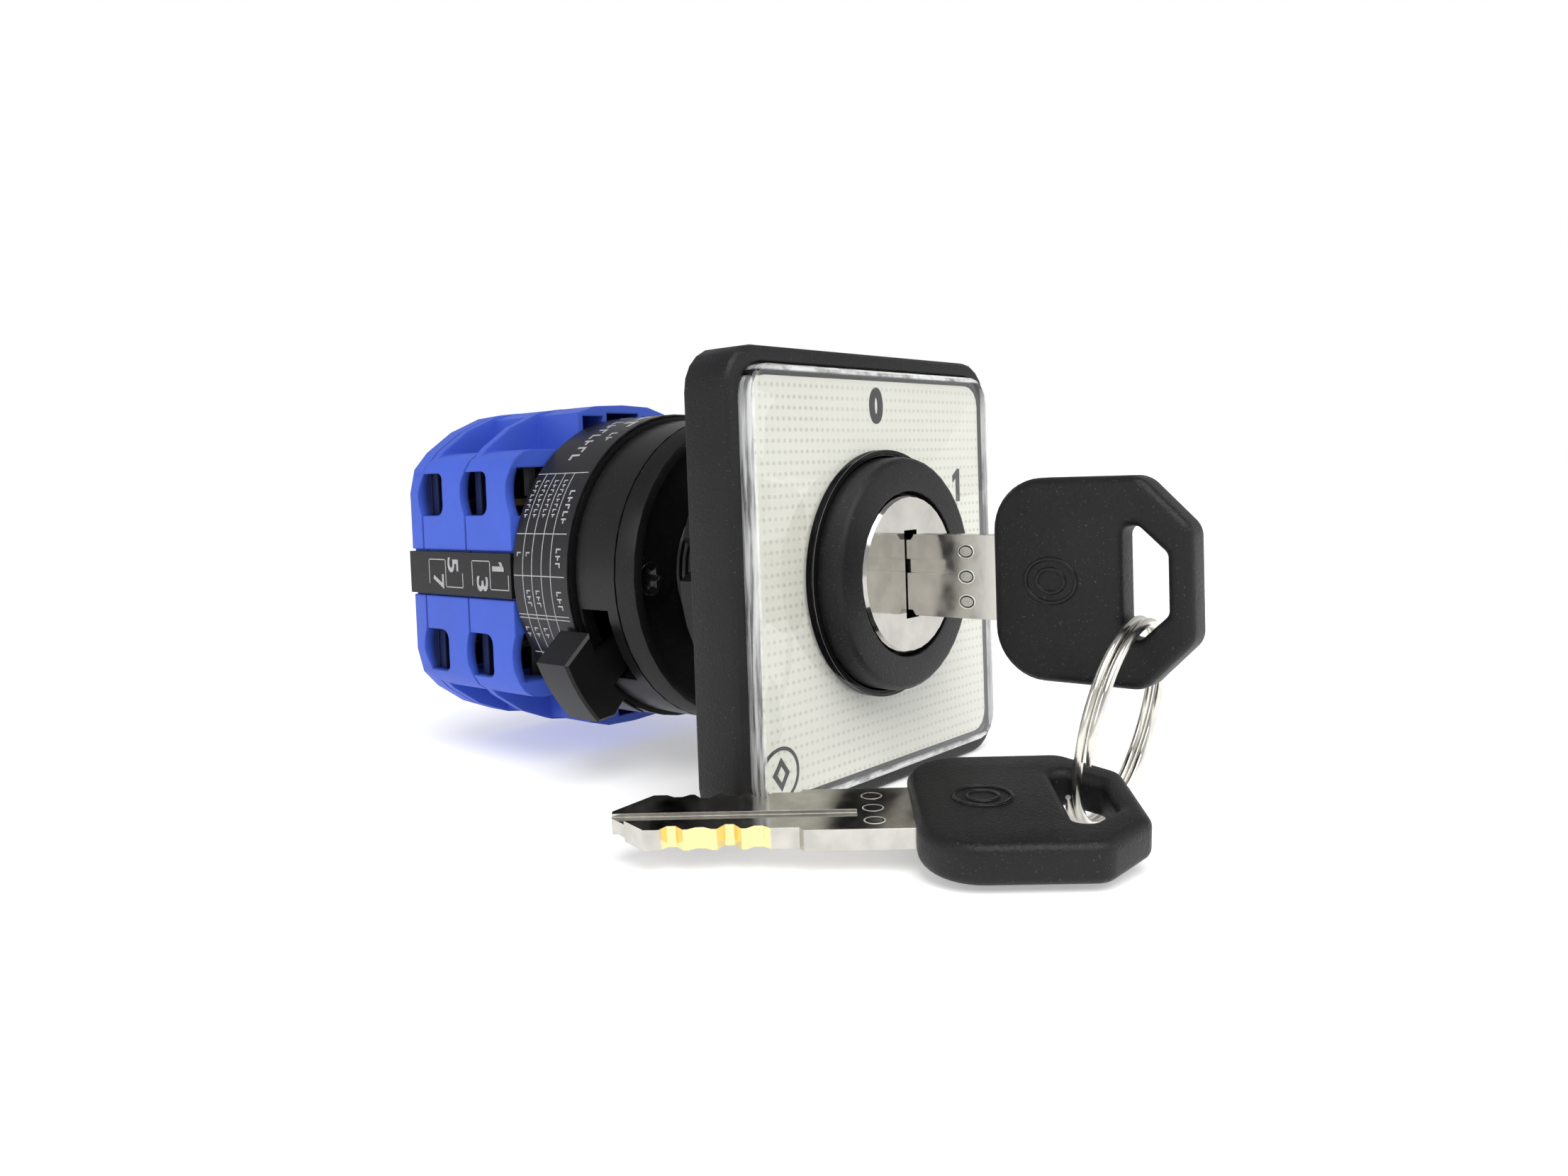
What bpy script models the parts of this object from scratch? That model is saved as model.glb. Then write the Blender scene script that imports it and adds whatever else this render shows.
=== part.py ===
"""Panel-mounted two-position selector key switch with a pair of keys on a split ring.

Frame: metres, +Z up. The origin is where the switch's own axis crosses the panel face
(the back of the square front frame). The axis is Y: the key goes in from -Y and the
contact stages stand behind the panel at +Y. +X is the right-hand side seen from the front.

All dimensions below are in millimetres; new_object() scales each mesh to metres.
"""
from math import cos, pi, radians, sin, tan, tau

import bmesh
import bpy
from mathutils import Matrix, Vector

MM = 0.001
GAP = 0.3                    # clearance between pieces that touch on the real object
FULL_TURN = 360
PAST = 1.0                   # how far a cutting body runs past the surface that it opens
BITE = 0.5                   # how far two bodies reach into each other before they are joined

# --- Front frame, legend plate and clear cover -------------------------------------------
PLATE_HALF = 24.0            # 48 mm square escutcheon
PLATE_CORNER = 4.5
PLATE_FRONT = -5.75
PLATE_EDGE_ROUND = 0.9
PLATE_BACK_ROUND = 0.3
COVER_HALF = 22.1
COVER_CORNER = 3.2
COVER_EDGE_ROUND = 0.6
COVER_FRONT = -7.05
COVER_BACK = -5.2
COVER_SEAT = -4.95
LEGEND_HALF = 20.9
LEGEND_CORNER = 2.4
LEGEND_FRONT = -4.95
LEGEND_BACK = -4.35
LEGEND_SEAT = -4.05
COVER_BORE = 13.05
REAR_POCKET_HALF = 22.0
REAR_POCKET_FLOOR = -2.2
CENTRE_BOSS = 14.0

# --- Lock ---------------------------------------------------------------------------------
COLLAR_RADIUS = 12.63
COLLAR_FRONT = -9.85
COLLAR_OPENING = 8.95
COLLAR_INNER = 11.6
COLLAR_FLOOR = -8.6
COLLAR_EDGE_ROUND = 0.9
BARREL_HEAD = 11.3
BARREL_HEAD_FRONT = -8.3
BARREL_BODY = 10.6
BARREL_BORE = 6.3
NECK_RADIUS = 9.5
NECK_START = 12.6
NECK_GROOVE = 8.6
GROOVE_FRONT = 21.0
GROOVE_BACK = 24.0
BARREL_BACK = 25.0
BARREL_NOTCH_HALF_ANGLE = 22.0
PLUG_FACE_RADIUS = 8.6
PLUG_FACE = -9.94
PLUG_SHOULDER = -8.65
PLUG_CHAMFER = 0.3
PLUG_BODY = 6.0
PLUG_BACK = 16.0
KEYWAY_HALF_WIDTH = 1.2
KEYWAY_HALF_HEIGHT = 4.75
KEYWAY_DEPTH = 7.6
TAIL_HALF = 2.3
TAIL_END = 20.0
WAFER_THICKNESS = 0.9
WAFER_FIRST = -5.5
WAFER_PITCH = 2.7
WAFER_COUNT = 4
WAFER_HALF_WIDTH = 2.9
WAFER_HALF_HEIGHT = 5.7
NUT_RADIUS = 15.8
NUT_NOTCH_RADIUS = 14.3
NUT_FRONT = 5.4
NUT_BACK = 9.6
NUT_TEETH = 8
NUT_TOOTH_SHARE = 0.62       # of the pitch
NUT_NOTCH_SHARES = (0.7, 0.92)

# --- Keys and split ring ------------------------------------------------------------------
BOW_LENGTH = 20.1
BOW_HALF_WIDTH = 10.0
BOW_HALF_THICKNESS = 1.9
BOW_EDGE_ROUND = 0.9
BOW_NEAR_CORNER = 5.2
BOW_FAR_HALF = 5.2           # half height of the far end, between the two chamfers
BOW_CHAMFER_START = 15.3
BOW_CHAMFER_ROUND = 2.0
BOW_FAR_ROUND = 1.6
HOLE_NEAR = 13.4
HOLE_FAR = 17.7
HOLE_HALF_NEAR = 5.3
HOLE_HALF_FAR = 2.8
HOLE_CHAMFER_START = 15.0
HOLE_ROUND = 0.5
BLADE_HALF_WIDTH = 4.33
BLADE_HALF_THICKNESS = 1.0
BLADE_LENGTH = 27.4
BLADE_SHOULDER = 9.8
BLADE_CUT_HALF = 3.75        # half width of the part of the blade that carries the cuts
BLADE_TIP_HALF = 0.35
BLADE_TIP_TAPER = 3.4
CUT_MOUTH_HALF = 1.1
CUT_FLOOR_HALF = 0.4
UPPER_CUTS = ((21.6, 0.75), (19.0, 0.4), (16.4, 0.9), (13.8, 0.5))    # (place, depth)
LOWER_CUTS = ((21.6, 0.5), (19.0, 0.9), (16.4, 0.6), (13.8, 0.8))
BLADE_GROOVE_START = 5.0
BLADE_GROOVE_DEPTH = 0.35
BLADE_GROOVE_Z = (0.2, 1.7)
TANG_LENGTH = 6.0
TANG_GAP = 0.15
KEY_1_FRONT = -20.8          # where the inserted key's bow starts
KEY_2_PLACE = (-17.95, -21.15, -20.25)
KEY_2_HEADING = 128.6        # direction of the loose key's blade, degrees from +X
KEY_2_LEAN = -8.1            # its far side rests on the split ring
RING_RADIUS = 9.85
RING_CENTRE = (-1.4, -33.6, -13.24)
RING_NORMAL = (0.0917, -0.9739, -0.2075)
WIRE_AXIAL = 0.42
WIRE_RADIAL = 0.5
RING_PITCH = 0.92
RING_TURNS = 1.93
RING_STEPS_PER_TURN = 30
RING_START_ANGLE = 35.0

# --- Black housings behind the panel ------------------------------------------------------
CAP_FRONT = 14.6
CAP_BACK = 17.2
CAP_FRONT_RADIUS = 18.0
HOUSING_RADIUS = 18.4
CAP_RIM_INNER = 16.8
CAP_FLOOR = 16.2
CAP_EDGE_ROUND = 0.6
CAP_PAD_RADIUS = 2.9          # the raised seats under the two front screws
CAP_PAD_RISE = 0.25
CAP_PAD_SHIFT = 1.3           # how far the seats stand inwards from the screws
NECK_BORE = 9.9
FRONT_HOUSING_FRONT = 17.45
FRONT_HOUSING_BACK = 24.0
FRONT_WEB = 1.2
FRONT_CAVITY = 16.9
SLOT_FRONT = 17.9
SLOT_BACK = 23.6
SLOT_ANGLES = (-169.0, -139.0)
SLOT_DEPTH = 1.5
LEVER_RING_INNER = 9.9
LEVER_RING_OUTER = 11.9
LEVER_LUG_INNER = 9.0
LEVER_LUG_HALF_ANGLE = 18.0
LEVER_FRONT = 21.35
LEVER_RING_BACK = 23.3
LEVER_PAD_BACK = 26.6
LEVER_PAD_INNER = 19.75
LEVER_PAD_OUTER = 24.4
LEVER_PAD_TOP = -157.5
LEVER_PAD_TOP_INNER = -162.0
LEVER_PAD_END = -133.5
LEVER_PAD_TIP_SETBACK = 2.0
LEVER_PAD_TIP_TURN = 4.0
LEVER_EDGE_ROUND = 0.3
LEVER_WEB_ANGLES = (-153.0, -141.0)
REAR_HOUSING_FRONT = 24.3
REAR_HOUSING_BACK = 34.75
REAR_HOUSING_RADIUS = 18.95
REAR_CAVITY = 16.3
REAR_WEB = 1.6
LABEL_INNER = 19.05
LABEL_OUTER = 19.27
LABEL_INSET = 0.25
LABEL_ANGLES = (62.0, 245.0)
FRONT_SCREW_X = 14.9
FRONT_SCREW_HEAD_FRONT = 15.0
FRONT_SCREW_END = 26.5
FRONT_SCREW_HEAD = 1.9
FRONT_SCREW_SHANK = 1.3
STAR_LOBES = 6
STAR_OUTER = 1.35
STAR_INNER = 0.8
STAR_DEPTH = 0.5
SCREW_BORE = 1.7
BOSS_RADIUS = 2.6
BOSS_SETBACK = 0.2
TIE_SCREW_X = 12.4
TIE_SCREW_FRONT = 29.5
TIE_SCREW_SETBACK = 0.2
TIE_SCREW_HEAD = 2.3
TIE_SCREW_HEAD_DEPTH = 1.3
TIE_SCREW_SHANK = 1.4
TIE_SCREW_SEAT = 2.6
TIE_SCREW_SEAT_DEPTH = 1.8
CROSS_HALF_LENGTH = 1.5
CROSS_HALF_WIDTH = 0.3
CROSS_DEPTH = 0.7
SHAFT_HALF = 2.9
SHAFT_CLEAR_HALF = 3.15
SHAFT_FRONT = 18.3
SHAFT_COLLAR_RADIUS = 5.6
SHAFT_COLLAR_BACK = 25.4
SOCKET_HALF = 2.6
SOCKET_BACK = 20.6
SHAFT_END = 56.2
SHAFT_BORE = 4.6
DETENT_FRONT = 26.4
DETENT_BACK = 30.4
DETENT_CREST = 7.6
DETENT_DIP = 0.9
DETENT_POSITIONS = 6         # a rest every 60 degrees
CLIP_INNER = 8.1
CLIP_OUTER = 8.9
CLIP_INSET = 0.6
CLIP_SECTOR = (-60, 240)

# --- Blue contact stages ------------------------------------------------------------------
STAGE_FRONT = 35.05
STAGE_PITCH = 9.5
STAGE_DEPTH = 9.2
STAGE_COUNT = 2
END_PLATE_BACK = 56.9
STAGE_HALF_WIDTH = 19.0
STAGE_HALF_HEIGHT = 15.4
STAGE_CORNER = 3.8
BLOCK_HALF_WIDTH = 7.7
BLOCK_TOP = 21.1
BLOCK_SHOULDER = 20.0
BLOCK_CROWN = (4.6, 20.9)
SILHOUETTE = ((19.0, 10.4), (18.2, 13.6), (16.2, 15.8), (12.3, 18.5), (7.7, 20.4), (3.9, 21.0))
RIB_DEPTH = 1.3
CAVITY_DEPTH = 8.0
CHANNEL_HALF_WIDTH = 17.7
CHANNEL_LOW = 7.2
CHANNEL_HIGH = 13.2
CAM_CHAMBER = 8.2
STEM_SLOT_HALF = 2.8
SPRING_POCKET_TOP = 20.0
SIDE_POCKET_INNER = 3.5
SIDE_POCKET_OUTER = 6.9
SIDE_POCKET_LOW = 16.2
SIDE_POCKET_HIGH = 19.6
ENTRY_FRONT = 4.6            # wire entries, from the stage's own front face to its back
ENTRY_INNER = 17.3
ENTRY_LOW = 7.4
ENTRY_HIGH = 12.9
ENTRY_CORNER = 1.3
ENTRY_LIP = 0.7              # hollow in the front edge of the part that closes an entry
ENTRY_LIP_STEPS = 48
ACCESS_RADIUS = 2.5
TERMINAL_SCREW_X = 11.6
TERMINAL_SCREW_Y = 4.9       # from the stage's own front face
TERMINAL_SCREW_HEAD = 2.1
TERMINAL_SCREW_SHANK = 1.3
TERMINAL_SCREW_SEAT = 13.7
TERMINAL_SCREW_FACE = 15.1
TERMINAL_SLOT_HALF = 0.3
TERMINAL_SLOT_DEPTH = 0.6
STRIP_HALF_HEIGHT = 2.75
STRIP_FACE = 19.25
STRIP_BACK_FACE = 18.65
STRIP_GROOVE = 18.35

# --- Moving contacts ----------------------------------------------------------------------
CAM_HIGH = 7.2
CAM_LOW = 6.0
CAM_RAMP = 60.0              # degrees of key turn over which the contacts travel
CAM_DWELL = 90.0
CAM_INSET = 1.2
CAM_DEPTH = 5.6
CAM_STEP = 6
BRIDGE_FOOT = CAM_HIGH + GAP
BRIDGE_BLADE_LOW = 11.5
BRIDGE_BLADE_HIGH = 12.3
BRIDGE_HALF_LENGTH = 8.5
BRIDGE_STEM_HALF = 2.2
BRIDGE_CHAMFER = 0.8
BRIDGE_FRONT = 2.8
BRIDGE_BACK = 7.0
SPRING_RADIUS = 1.7
SPRING_WIRE = 0.32
SPRING_TURNS = 3.5
SPRING_STEPS_PER_TURN = 10
SPRING_LOW = BRIDGE_BLADE_HIGH + GAP + SPRING_WIRE
SPRING_HIGH = SPRING_POCKET_TOP - GAP - SPRING_WIRE
TERMINAL_INNER = 5.9
TERMINAL_OUTER = 17.2
TERMINAL_LOW = 8.5
TERMINAL_HIGH = 9.3
TERMINAL_PAD_HIGH = 10.0
TERMINAL_PAD_OUTER = 8.2
TERMINAL_PAD_SLOPE = 0.5
END_PLATE_ROUND = 0.5


# === Outlines =============================================================================
def arc(centre, radius, start, end, steps):
    """Points on an arc, angles in degrees, both ends included."""
    angles = (radians(start + (end - start) * k / steps) for k in range(steps + 1))
    return [(centre[0] + radius * cos(a), centre[1] + radius * sin(a)) for a in angles]


def circle(radius, steps, centre=(0.0, 0.0)):
    return arc(centre, radius, 0, FULL_TURN, steps)[:-1]


def rounded_polygon(corners, steps=3):
    """Polygon whose corners (x, z, radius) are replaced by arcs."""
    points = []
    for k, (x, z, radius) in enumerate(corners):
        here = Vector((x, z))
        if radius == 0:
            points.append((x, z))
            continue
        before = (Vector(corners[k - 1][:2]) - here).normalized()
        after = (Vector(corners[(k + 1) % len(corners)][:2]) - here).normalized()
        half = before.angle(after) / 2
        centre = here + (before + after).normalized() * radius / sin(half)
        start = here + before * radius / tan(half) - centre
        sweep = (after * radius / tan(half) + here - centre).angle_signed(start)
        for step in range(steps + 1):
            spoke = start.copy()
            spoke.rotate(Matrix.Rotation(sweep * step / steps, 2))
            points.append(tuple(centre + spoke))
    return points


def rounded_rect(half_width, half_height, radius, steps=4):
    w, h = half_width, half_height
    return rounded_polygon([(w, -h, radius), (w, h, radius), (-w, h, radius), (-w, -h, radius)], steps)


def rectangle(low_a, high_a, low_b, high_b):
    return [(low_a, low_b), (high_a, low_b), (high_a, high_b), (low_a, high_b)]


def signed_area(outline):
    pairs = zip(outline, outline[1:] + outline[:1])
    return sum(a[0] * b[1] - b[0] * a[1] for a, b in pairs) / 2


def inset(outline, distance):
    """Move every side of a closed outline inwards by the same distance."""
    side = 1 if signed_area(outline) > 0 else -1
    moved = []
    for k, point in enumerate(outline):
        here = Vector(point)
        before = (here - Vector(outline[k - 1])).normalized()
        after = (Vector(outline[(k + 1) % len(outline)]) - here).normalized()
        along = (before + after).normalized()
        normal = Vector((-along.y, along.x)) * side
        stretch = max(0.5, normal.dot(Vector((-after.y, after.x)) * side))
        moved.append(tuple(here + normal * distance / stretch))
    return moved


def mirrored(outline):
    """The same outline on the other side of the second axis."""
    return [(-a, b) for a, b in reversed(outline)]


# === Solids ===============================================================================
def place(axis, a, b, along):
    """A point of an outline (a, b) at a distance along the extrusion axis."""
    return {"X": (along, a, b), "Y": (a, along, b), "Z": (a, b, along)}[axis]


def skin(bm, loops, closed=False):
    """Join loops of equal length by quads; cap the two ends unless the run is closed."""
    rings = [[bm.verts.new(point) for point in loop] for loop in loops]
    pairs = list(zip(rings, rings[1:]))
    if closed:
        pairs.append((rings[-1], rings[0]))
    for low, high in pairs:
        for k in range(len(low)):
            bm.faces.new((low[k - 1], low[k], high[k], high[k - 1]))
    if not closed:
        bm.faces.new(reversed(rings[0]))
        bm.faces.new(rings[-1])


def prism(outline, low, high, axis="Y", low_round=0.0, high_round=0.0, steps=3):
    """Extrude an outline between two levels, with rounded edges at either end."""
    levels = []
    for k in range(steps + 1 if low_round else 1):
        turn = pi / 2 * k / steps
        levels.append((low + low_round * (1 - cos(turn)), low_round * (1 - sin(turn))))
    for k in range(steps, -1, -1) if high_round else (0,):
        turn = pi / 2 * k / steps
        levels.append((high - high_round * (1 - cos(turn)), high_round * (1 - sin(turn))))
    bm = bmesh.new()
    loops = []
    for level, shrink in levels:
        points = inset(outline, shrink) if shrink > 0 else outline
        loops.append([place(axis, a, b, level) for a, b in points])
    skin(bm, loops)
    return bm


def box(x, y, z):
    """A block given by its (low, high) limits along each axis."""
    return prism(rectangle(*x, *z), *y)


def turned(profile, steps, sector=None, centre=(0.0, 0.0)):
    """Turn a closed (radius, y) profile about Y, all the way or through a sector."""
    start, end = sector or (0, FULL_TURN)
    count = steps if sector is None else steps + 1
    loops = []
    for k in range(count):
        angle = radians(start + (end - start) * k / steps)
        loops.append([(centre[0] + r * cos(angle), y, centre[1] + r * sin(angle)) for r, y in profile])
    bm = bmesh.new()
    skin(bm, loops, closed=sector is None)
    return bm


def cylinder(radius, front, back, steps=16, centre=(0.0, 0.0)):
    return prism(circle(radius, steps, centre), front, back)


def wire(path, across, along):
    """A wire swept along a path of (point, side, up) stations with an oval section."""
    loops = []
    for point, side, up in path:
        loops.append([point + side * across * cos(a) + up * along * sin(a)
                      for a in (tau * k / 6 for k in range(6))])
    bm = bmesh.new()
    skin(bm, loops)
    return bm


# === Objects ==============================================================================
def new_object(name, bm, material):
    """Turn a bmesh drawn in millimetres into a named object in metres."""
    bmesh.ops.recalc_face_normals(bm, faces=bm.faces)
    mesh = bpy.data.meshes.new(name)
    bm.to_mesh(mesh)
    bm.free()
    mesh.transform(Matrix.Scale(MM, 4))
    mesh.materials.append(material)
    obj = bpy.data.objects.new(name, mesh)
    bpy.context.scene.collection.objects.link(obj)
    return obj


def combine(obj, operation, bodies):
    """Apply exact boolean operations with each bmesh body and drop the tool objects."""
    for bm in bodies:
        tool = new_object(obj.name + "_tool", bm, obj.data.materials[0])
        step = obj.modifiers.new(operation.lower(), "BOOLEAN")
        step.operation = operation
        step.solver = "EXACT"
        step.object = tool
        depsgraph = bpy.context.evaluated_depsgraph_get()
        result = bpy.data.meshes.new_from_object(obj.evaluated_get(depsgraph))
        obj.modifiers.clear()
        obj.data = result
        bpy.data.objects.remove(tool, do_unlink=True)
    return obj


def cut(obj, *bodies):
    return combine(obj, "DIFFERENCE", bodies)


def add(obj, *bodies):
    return combine(obj, "UNION", bodies)


def shade(obj):
    obj.data.shade_smooth()
    obj.data.set_sharp_from_angle(angle=radians(32))


def set_origin(obj, point):
    """Put an object's origin on its joint axis without moving its surface."""
    offset = Vector(point) * MM
    obj.data.transform(Matrix.Translation(-offset))
    obj.location = offset


def make_material(name, colour, roughness, metallic=0.0, alpha=1.0):
    material = bpy.data.materials.new(name)
    material.use_nodes = True
    shader = material.node_tree.nodes["Principled BSDF"]
    shader.inputs["Base Color"].default_value = (*colour, 1.0)
    shader.inputs["Roughness"].default_value = roughness
    shader.inputs["Metallic"].default_value = metallic
    shader.inputs["Alpha"].default_value = alpha
    return material


def make_materials():
    return {
        "black_plastic": make_material("black_plastic", (0.020, 0.020, 0.022), 0.55),
        "matte_black": make_material("matte_black", (0.028, 0.028, 0.030), 0.70),
        "blue_plastic": make_material("blue_plastic", (0.030, 0.075, 0.500), 0.50),
        "legend": make_material("legend", (0.700, 0.700, 0.640), 0.60),
        "clear": make_material("clear", (0.900, 0.920, 0.920), 0.05, alpha=0.3),
        "nickel": make_material("nickel", (0.720, 0.700, 0.660), 0.22, metallic=1.0),
        "steel": make_material("steel", (0.450, 0.450, 0.460), 0.35, metallic=1.0),
        "brass": make_material("brass", (0.700, 0.500, 0.200), 0.30, metallic=1.0),
        "white_plastic": make_material("white_plastic", (0.750, 0.750, 0.740), 0.50),
        "label": make_material("label", (0.050, 0.050, 0.055), 0.35),
    }


# === Front: frame, legend, cover ==========================================================
def build_bezel_frame(material):
    plate = rounded_rect(PLATE_HALF, PLATE_HALF, PLATE_CORNER, 5)
    bm = prism(plate, PLATE_FRONT, 0, low_round=PLATE_EDGE_ROUND, high_round=PLATE_BACK_ROUND)
    frame = new_object("bezel_frame", bm, material)
    cover_half = COVER_HALF + GAP
    legend_half = LEGEND_HALF + GAP
    pocket = rounded_rect(REAR_POCKET_HALF, REAR_POCKET_HALF, PLATE_CORNER - 2)
    cut(frame,
        prism(rounded_rect(cover_half, cover_half, COVER_CORNER + GAP), PLATE_FRONT - PAST, COVER_SEAT),
        prism(rounded_rect(legend_half, legend_half, LEGEND_CORNER), COVER_SEAT - PAST, LEGEND_SEAT),
        prism(pocket, REAR_POCKET_FLOOR, PAST))
    add(frame, cylinder(CENTRE_BOSS, REAR_POCKET_FLOOR - BITE, 0, 32))
    cut(frame, cylinder(BARREL_BODY + GAP, PLATE_FRONT, PAST, 32))
    return frame


def build_legend_plate(material):
    outline = rounded_rect(LEGEND_HALF, LEGEND_HALF, LEGEND_CORNER)
    plate = new_object("legend_plate", prism(outline, LEGEND_FRONT, LEGEND_BACK), material)
    return cut(plate, cylinder(COVER_BORE, LEGEND_FRONT - PAST, LEGEND_BACK + PAST, 40))


def build_clear_cover(material):
    outline = rounded_rect(COVER_HALF, COVER_HALF, COVER_CORNER)
    bm = prism(outline, COVER_FRONT, COVER_BACK, low_round=COVER_EDGE_ROUND)
    cover = new_object("clear_cover", bm, material)
    return cut(cover, cylinder(COVER_BORE, COVER_FRONT - PAST, COVER_BACK + PAST, 40))


# === Lock =================================================================================
def build_lock_collar(material):
    edge_round = COLLAR_EDGE_ROUND
    edge = arc((COLLAR_RADIUS - edge_round, COLLAR_FRONT + edge_round), edge_round, -90, 0, 3)
    back = LEGEND_SEAT - GAP
    profile = [(COLLAR_OPENING, COLLAR_FRONT)] + edge
    profile += [(COLLAR_RADIUS, back), (COLLAR_INNER, back),
                (COLLAR_INNER, COLLAR_FLOOR), (COLLAR_OPENING, COLLAR_FLOOR)]
    return new_object("lock_collar", turned(profile, 40), material)


def build_lock_barrel(material):
    profile = [(BARREL_BORE, BARREL_HEAD_FRONT), (BARREL_HEAD, BARREL_HEAD_FRONT),
               (BARREL_HEAD, LEGEND_SEAT - GAP), (BARREL_BODY, LEGEND_SEAT - GAP),
               (BARREL_BODY, NECK_START), (NECK_RADIUS, NECK_START),
               (NECK_RADIUS, GROOVE_FRONT), (NECK_GROOVE, GROOVE_FRONT),
               (NECK_GROOVE, GROOVE_BACK), (NECK_RADIUS, GROOVE_BACK),
               (NECK_RADIUS, BARREL_BACK), (BARREL_BORE, BARREL_BACK)]
    barrel = new_object("lock_barrel", turned(profile, 32), material)
    outer, half = NECK_RADIUS + PAST, BARREL_NOTCH_HALF_ANGLE
    notch = [(NECK_GROOVE, GROOVE_BACK - PAST), (outer, GROOVE_BACK - PAST),
             (outer, BARREL_BACK + PAST), (NECK_GROOVE, BARREL_BACK + PAST)]
    return cut(barrel, *[turned(notch, 4, sector=(side - half, side + half)) for side in (90, 270)])


def wafer_positions():
    return [WAFER_FIRST + k * WAFER_PITCH for k in range(WAFER_COUNT)]


def build_lock_plug(material):
    profile = [(0.0, PLUG_FACE), (PLUG_FACE_RADIUS - PLUG_CHAMFER, PLUG_FACE),
               (PLUG_FACE_RADIUS, PLUG_FACE + PLUG_CHAMFER), (PLUG_FACE_RADIUS, PLUG_SHOULDER),
               (PLUG_BODY, PLUG_SHOULDER), (PLUG_BODY, PLUG_BACK), (0.0, PLUG_BACK)]
    bm = turned(profile, 36)
    bmesh.ops.remove_doubles(bm, verts=bm.verts, dist=1e-5)
    plug = new_object("lock_plug", bm, material)
    height = KEYWAY_HALF_HEIGHT
    width = KEYWAY_HALF_WIDTH
    cut(plug, box((-width, width), (PLUG_FACE - PAST, KEYWAY_DEPTH), (-height, height)))
    slot_width = WAFER_HALF_WIDTH + GAP
    slot_depth = WAFER_THICKNESS / 2 + GAP / 2
    for y in wafer_positions():
        cut(plug, box((-slot_width, slot_width), (y - slot_depth, y + slot_depth), (-PLUG_BODY, PLUG_BODY)))
    return add(plug, box((-TAIL_HALF, TAIL_HALF), (PLUG_BACK - BITE, TAIL_END), (-TAIL_HALF, TAIL_HALF)))


def build_wafers(material):
    wafers = []
    for number, y in enumerate(wafer_positions(), start=1):
        outline = rounded_rect(WAFER_HALF_WIDTH, WAFER_HALF_HEIGHT, 0.6, 2)
        low, high = y - WAFER_THICKNESS / 2, y + WAFER_THICKNESS / 2
        wafer = new_object(f"wafer_{number}", prism(outline, low, high), material)
        half_x, half_z = BLADE_HALF_THICKNESS + GAP, BLADE_HALF_WIDTH + GAP
        window = box((-half_x, half_x), (low - PAST, high + PAST), (-half_z, half_z))
        wafers.append(cut(wafer, window))
    return wafers


def build_fixing_nut(material):
    pitch = FULL_TURN / NUT_TEETH
    outline = []
    for k in range(NUT_TEETH):
        notch_start, notch_end = (pitch * (k + share) for share in NUT_NOTCH_SHARES)
        outline += arc((0, 0), NUT_RADIUS, pitch * k, pitch * (k + NUT_TOOTH_SHARE), 3)
        outline += arc((0, 0), NUT_NOTCH_RADIUS, notch_start, notch_end, 2)
    nut = new_object("fixing_nut", prism(outline, NUT_FRONT, NUT_BACK), material)
    return cut(nut, cylinder(BARREL_BODY + GAP, NUT_FRONT - PAST, NUT_BACK + PAST, 32))


# === Keys =================================================================================
def blade_edge(cuts):
    """One edge of the blade from tip to tang: a pointed tip, shallow cuts, a shoulder."""
    mouth, floor = CUT_MOUTH_HALF, CUT_FLOOR_HALF
    edge = [(BLADE_LENGTH, BLADE_TIP_HALF), (BLADE_LENGTH - BLADE_TIP_TAPER, BLADE_CUT_HALF)]
    for y, depth in cuts:
        edge += [(y + mouth, BLADE_CUT_HALF), (y + floor, BLADE_CUT_HALF - depth),
                 (y - floor, BLADE_CUT_HALF - depth), (y - mouth, BLADE_CUT_HALF)]
    edge += [(BLADE_SHOULDER + floor, BLADE_CUT_HALF), (BLADE_SHOULDER, BLADE_HALF_WIDTH)]
    return edge + [(-TANG_LENGTH, BLADE_HALF_WIDTH)]


def build_blade(name, material):
    """The key's blade in its own frame: bow at y < 0, tip at +y, flat faces at -x and +x."""
    upper = blade_edge(UPPER_CUTS)
    lower = [(y, -z) for y, z in blade_edge(LOWER_CUTS)]
    outline = upper + lower[::-1]
    blade = new_object(name, prism(outline, -BLADE_HALF_THICKNESS, BLADE_HALF_THICKNESS, "X"), material)
    for side in (-1, 1):
        floor = BLADE_HALF_THICKNESS - BLADE_GROOVE_DEPTH
        groove = sorted((side * floor, side * (BLADE_HALF_THICKNESS + PAST)))
        cut(blade, box(groove, (BLADE_GROOVE_START, BLADE_LENGTH + PAST), BLADE_GROOVE_Z))
    return blade


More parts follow.
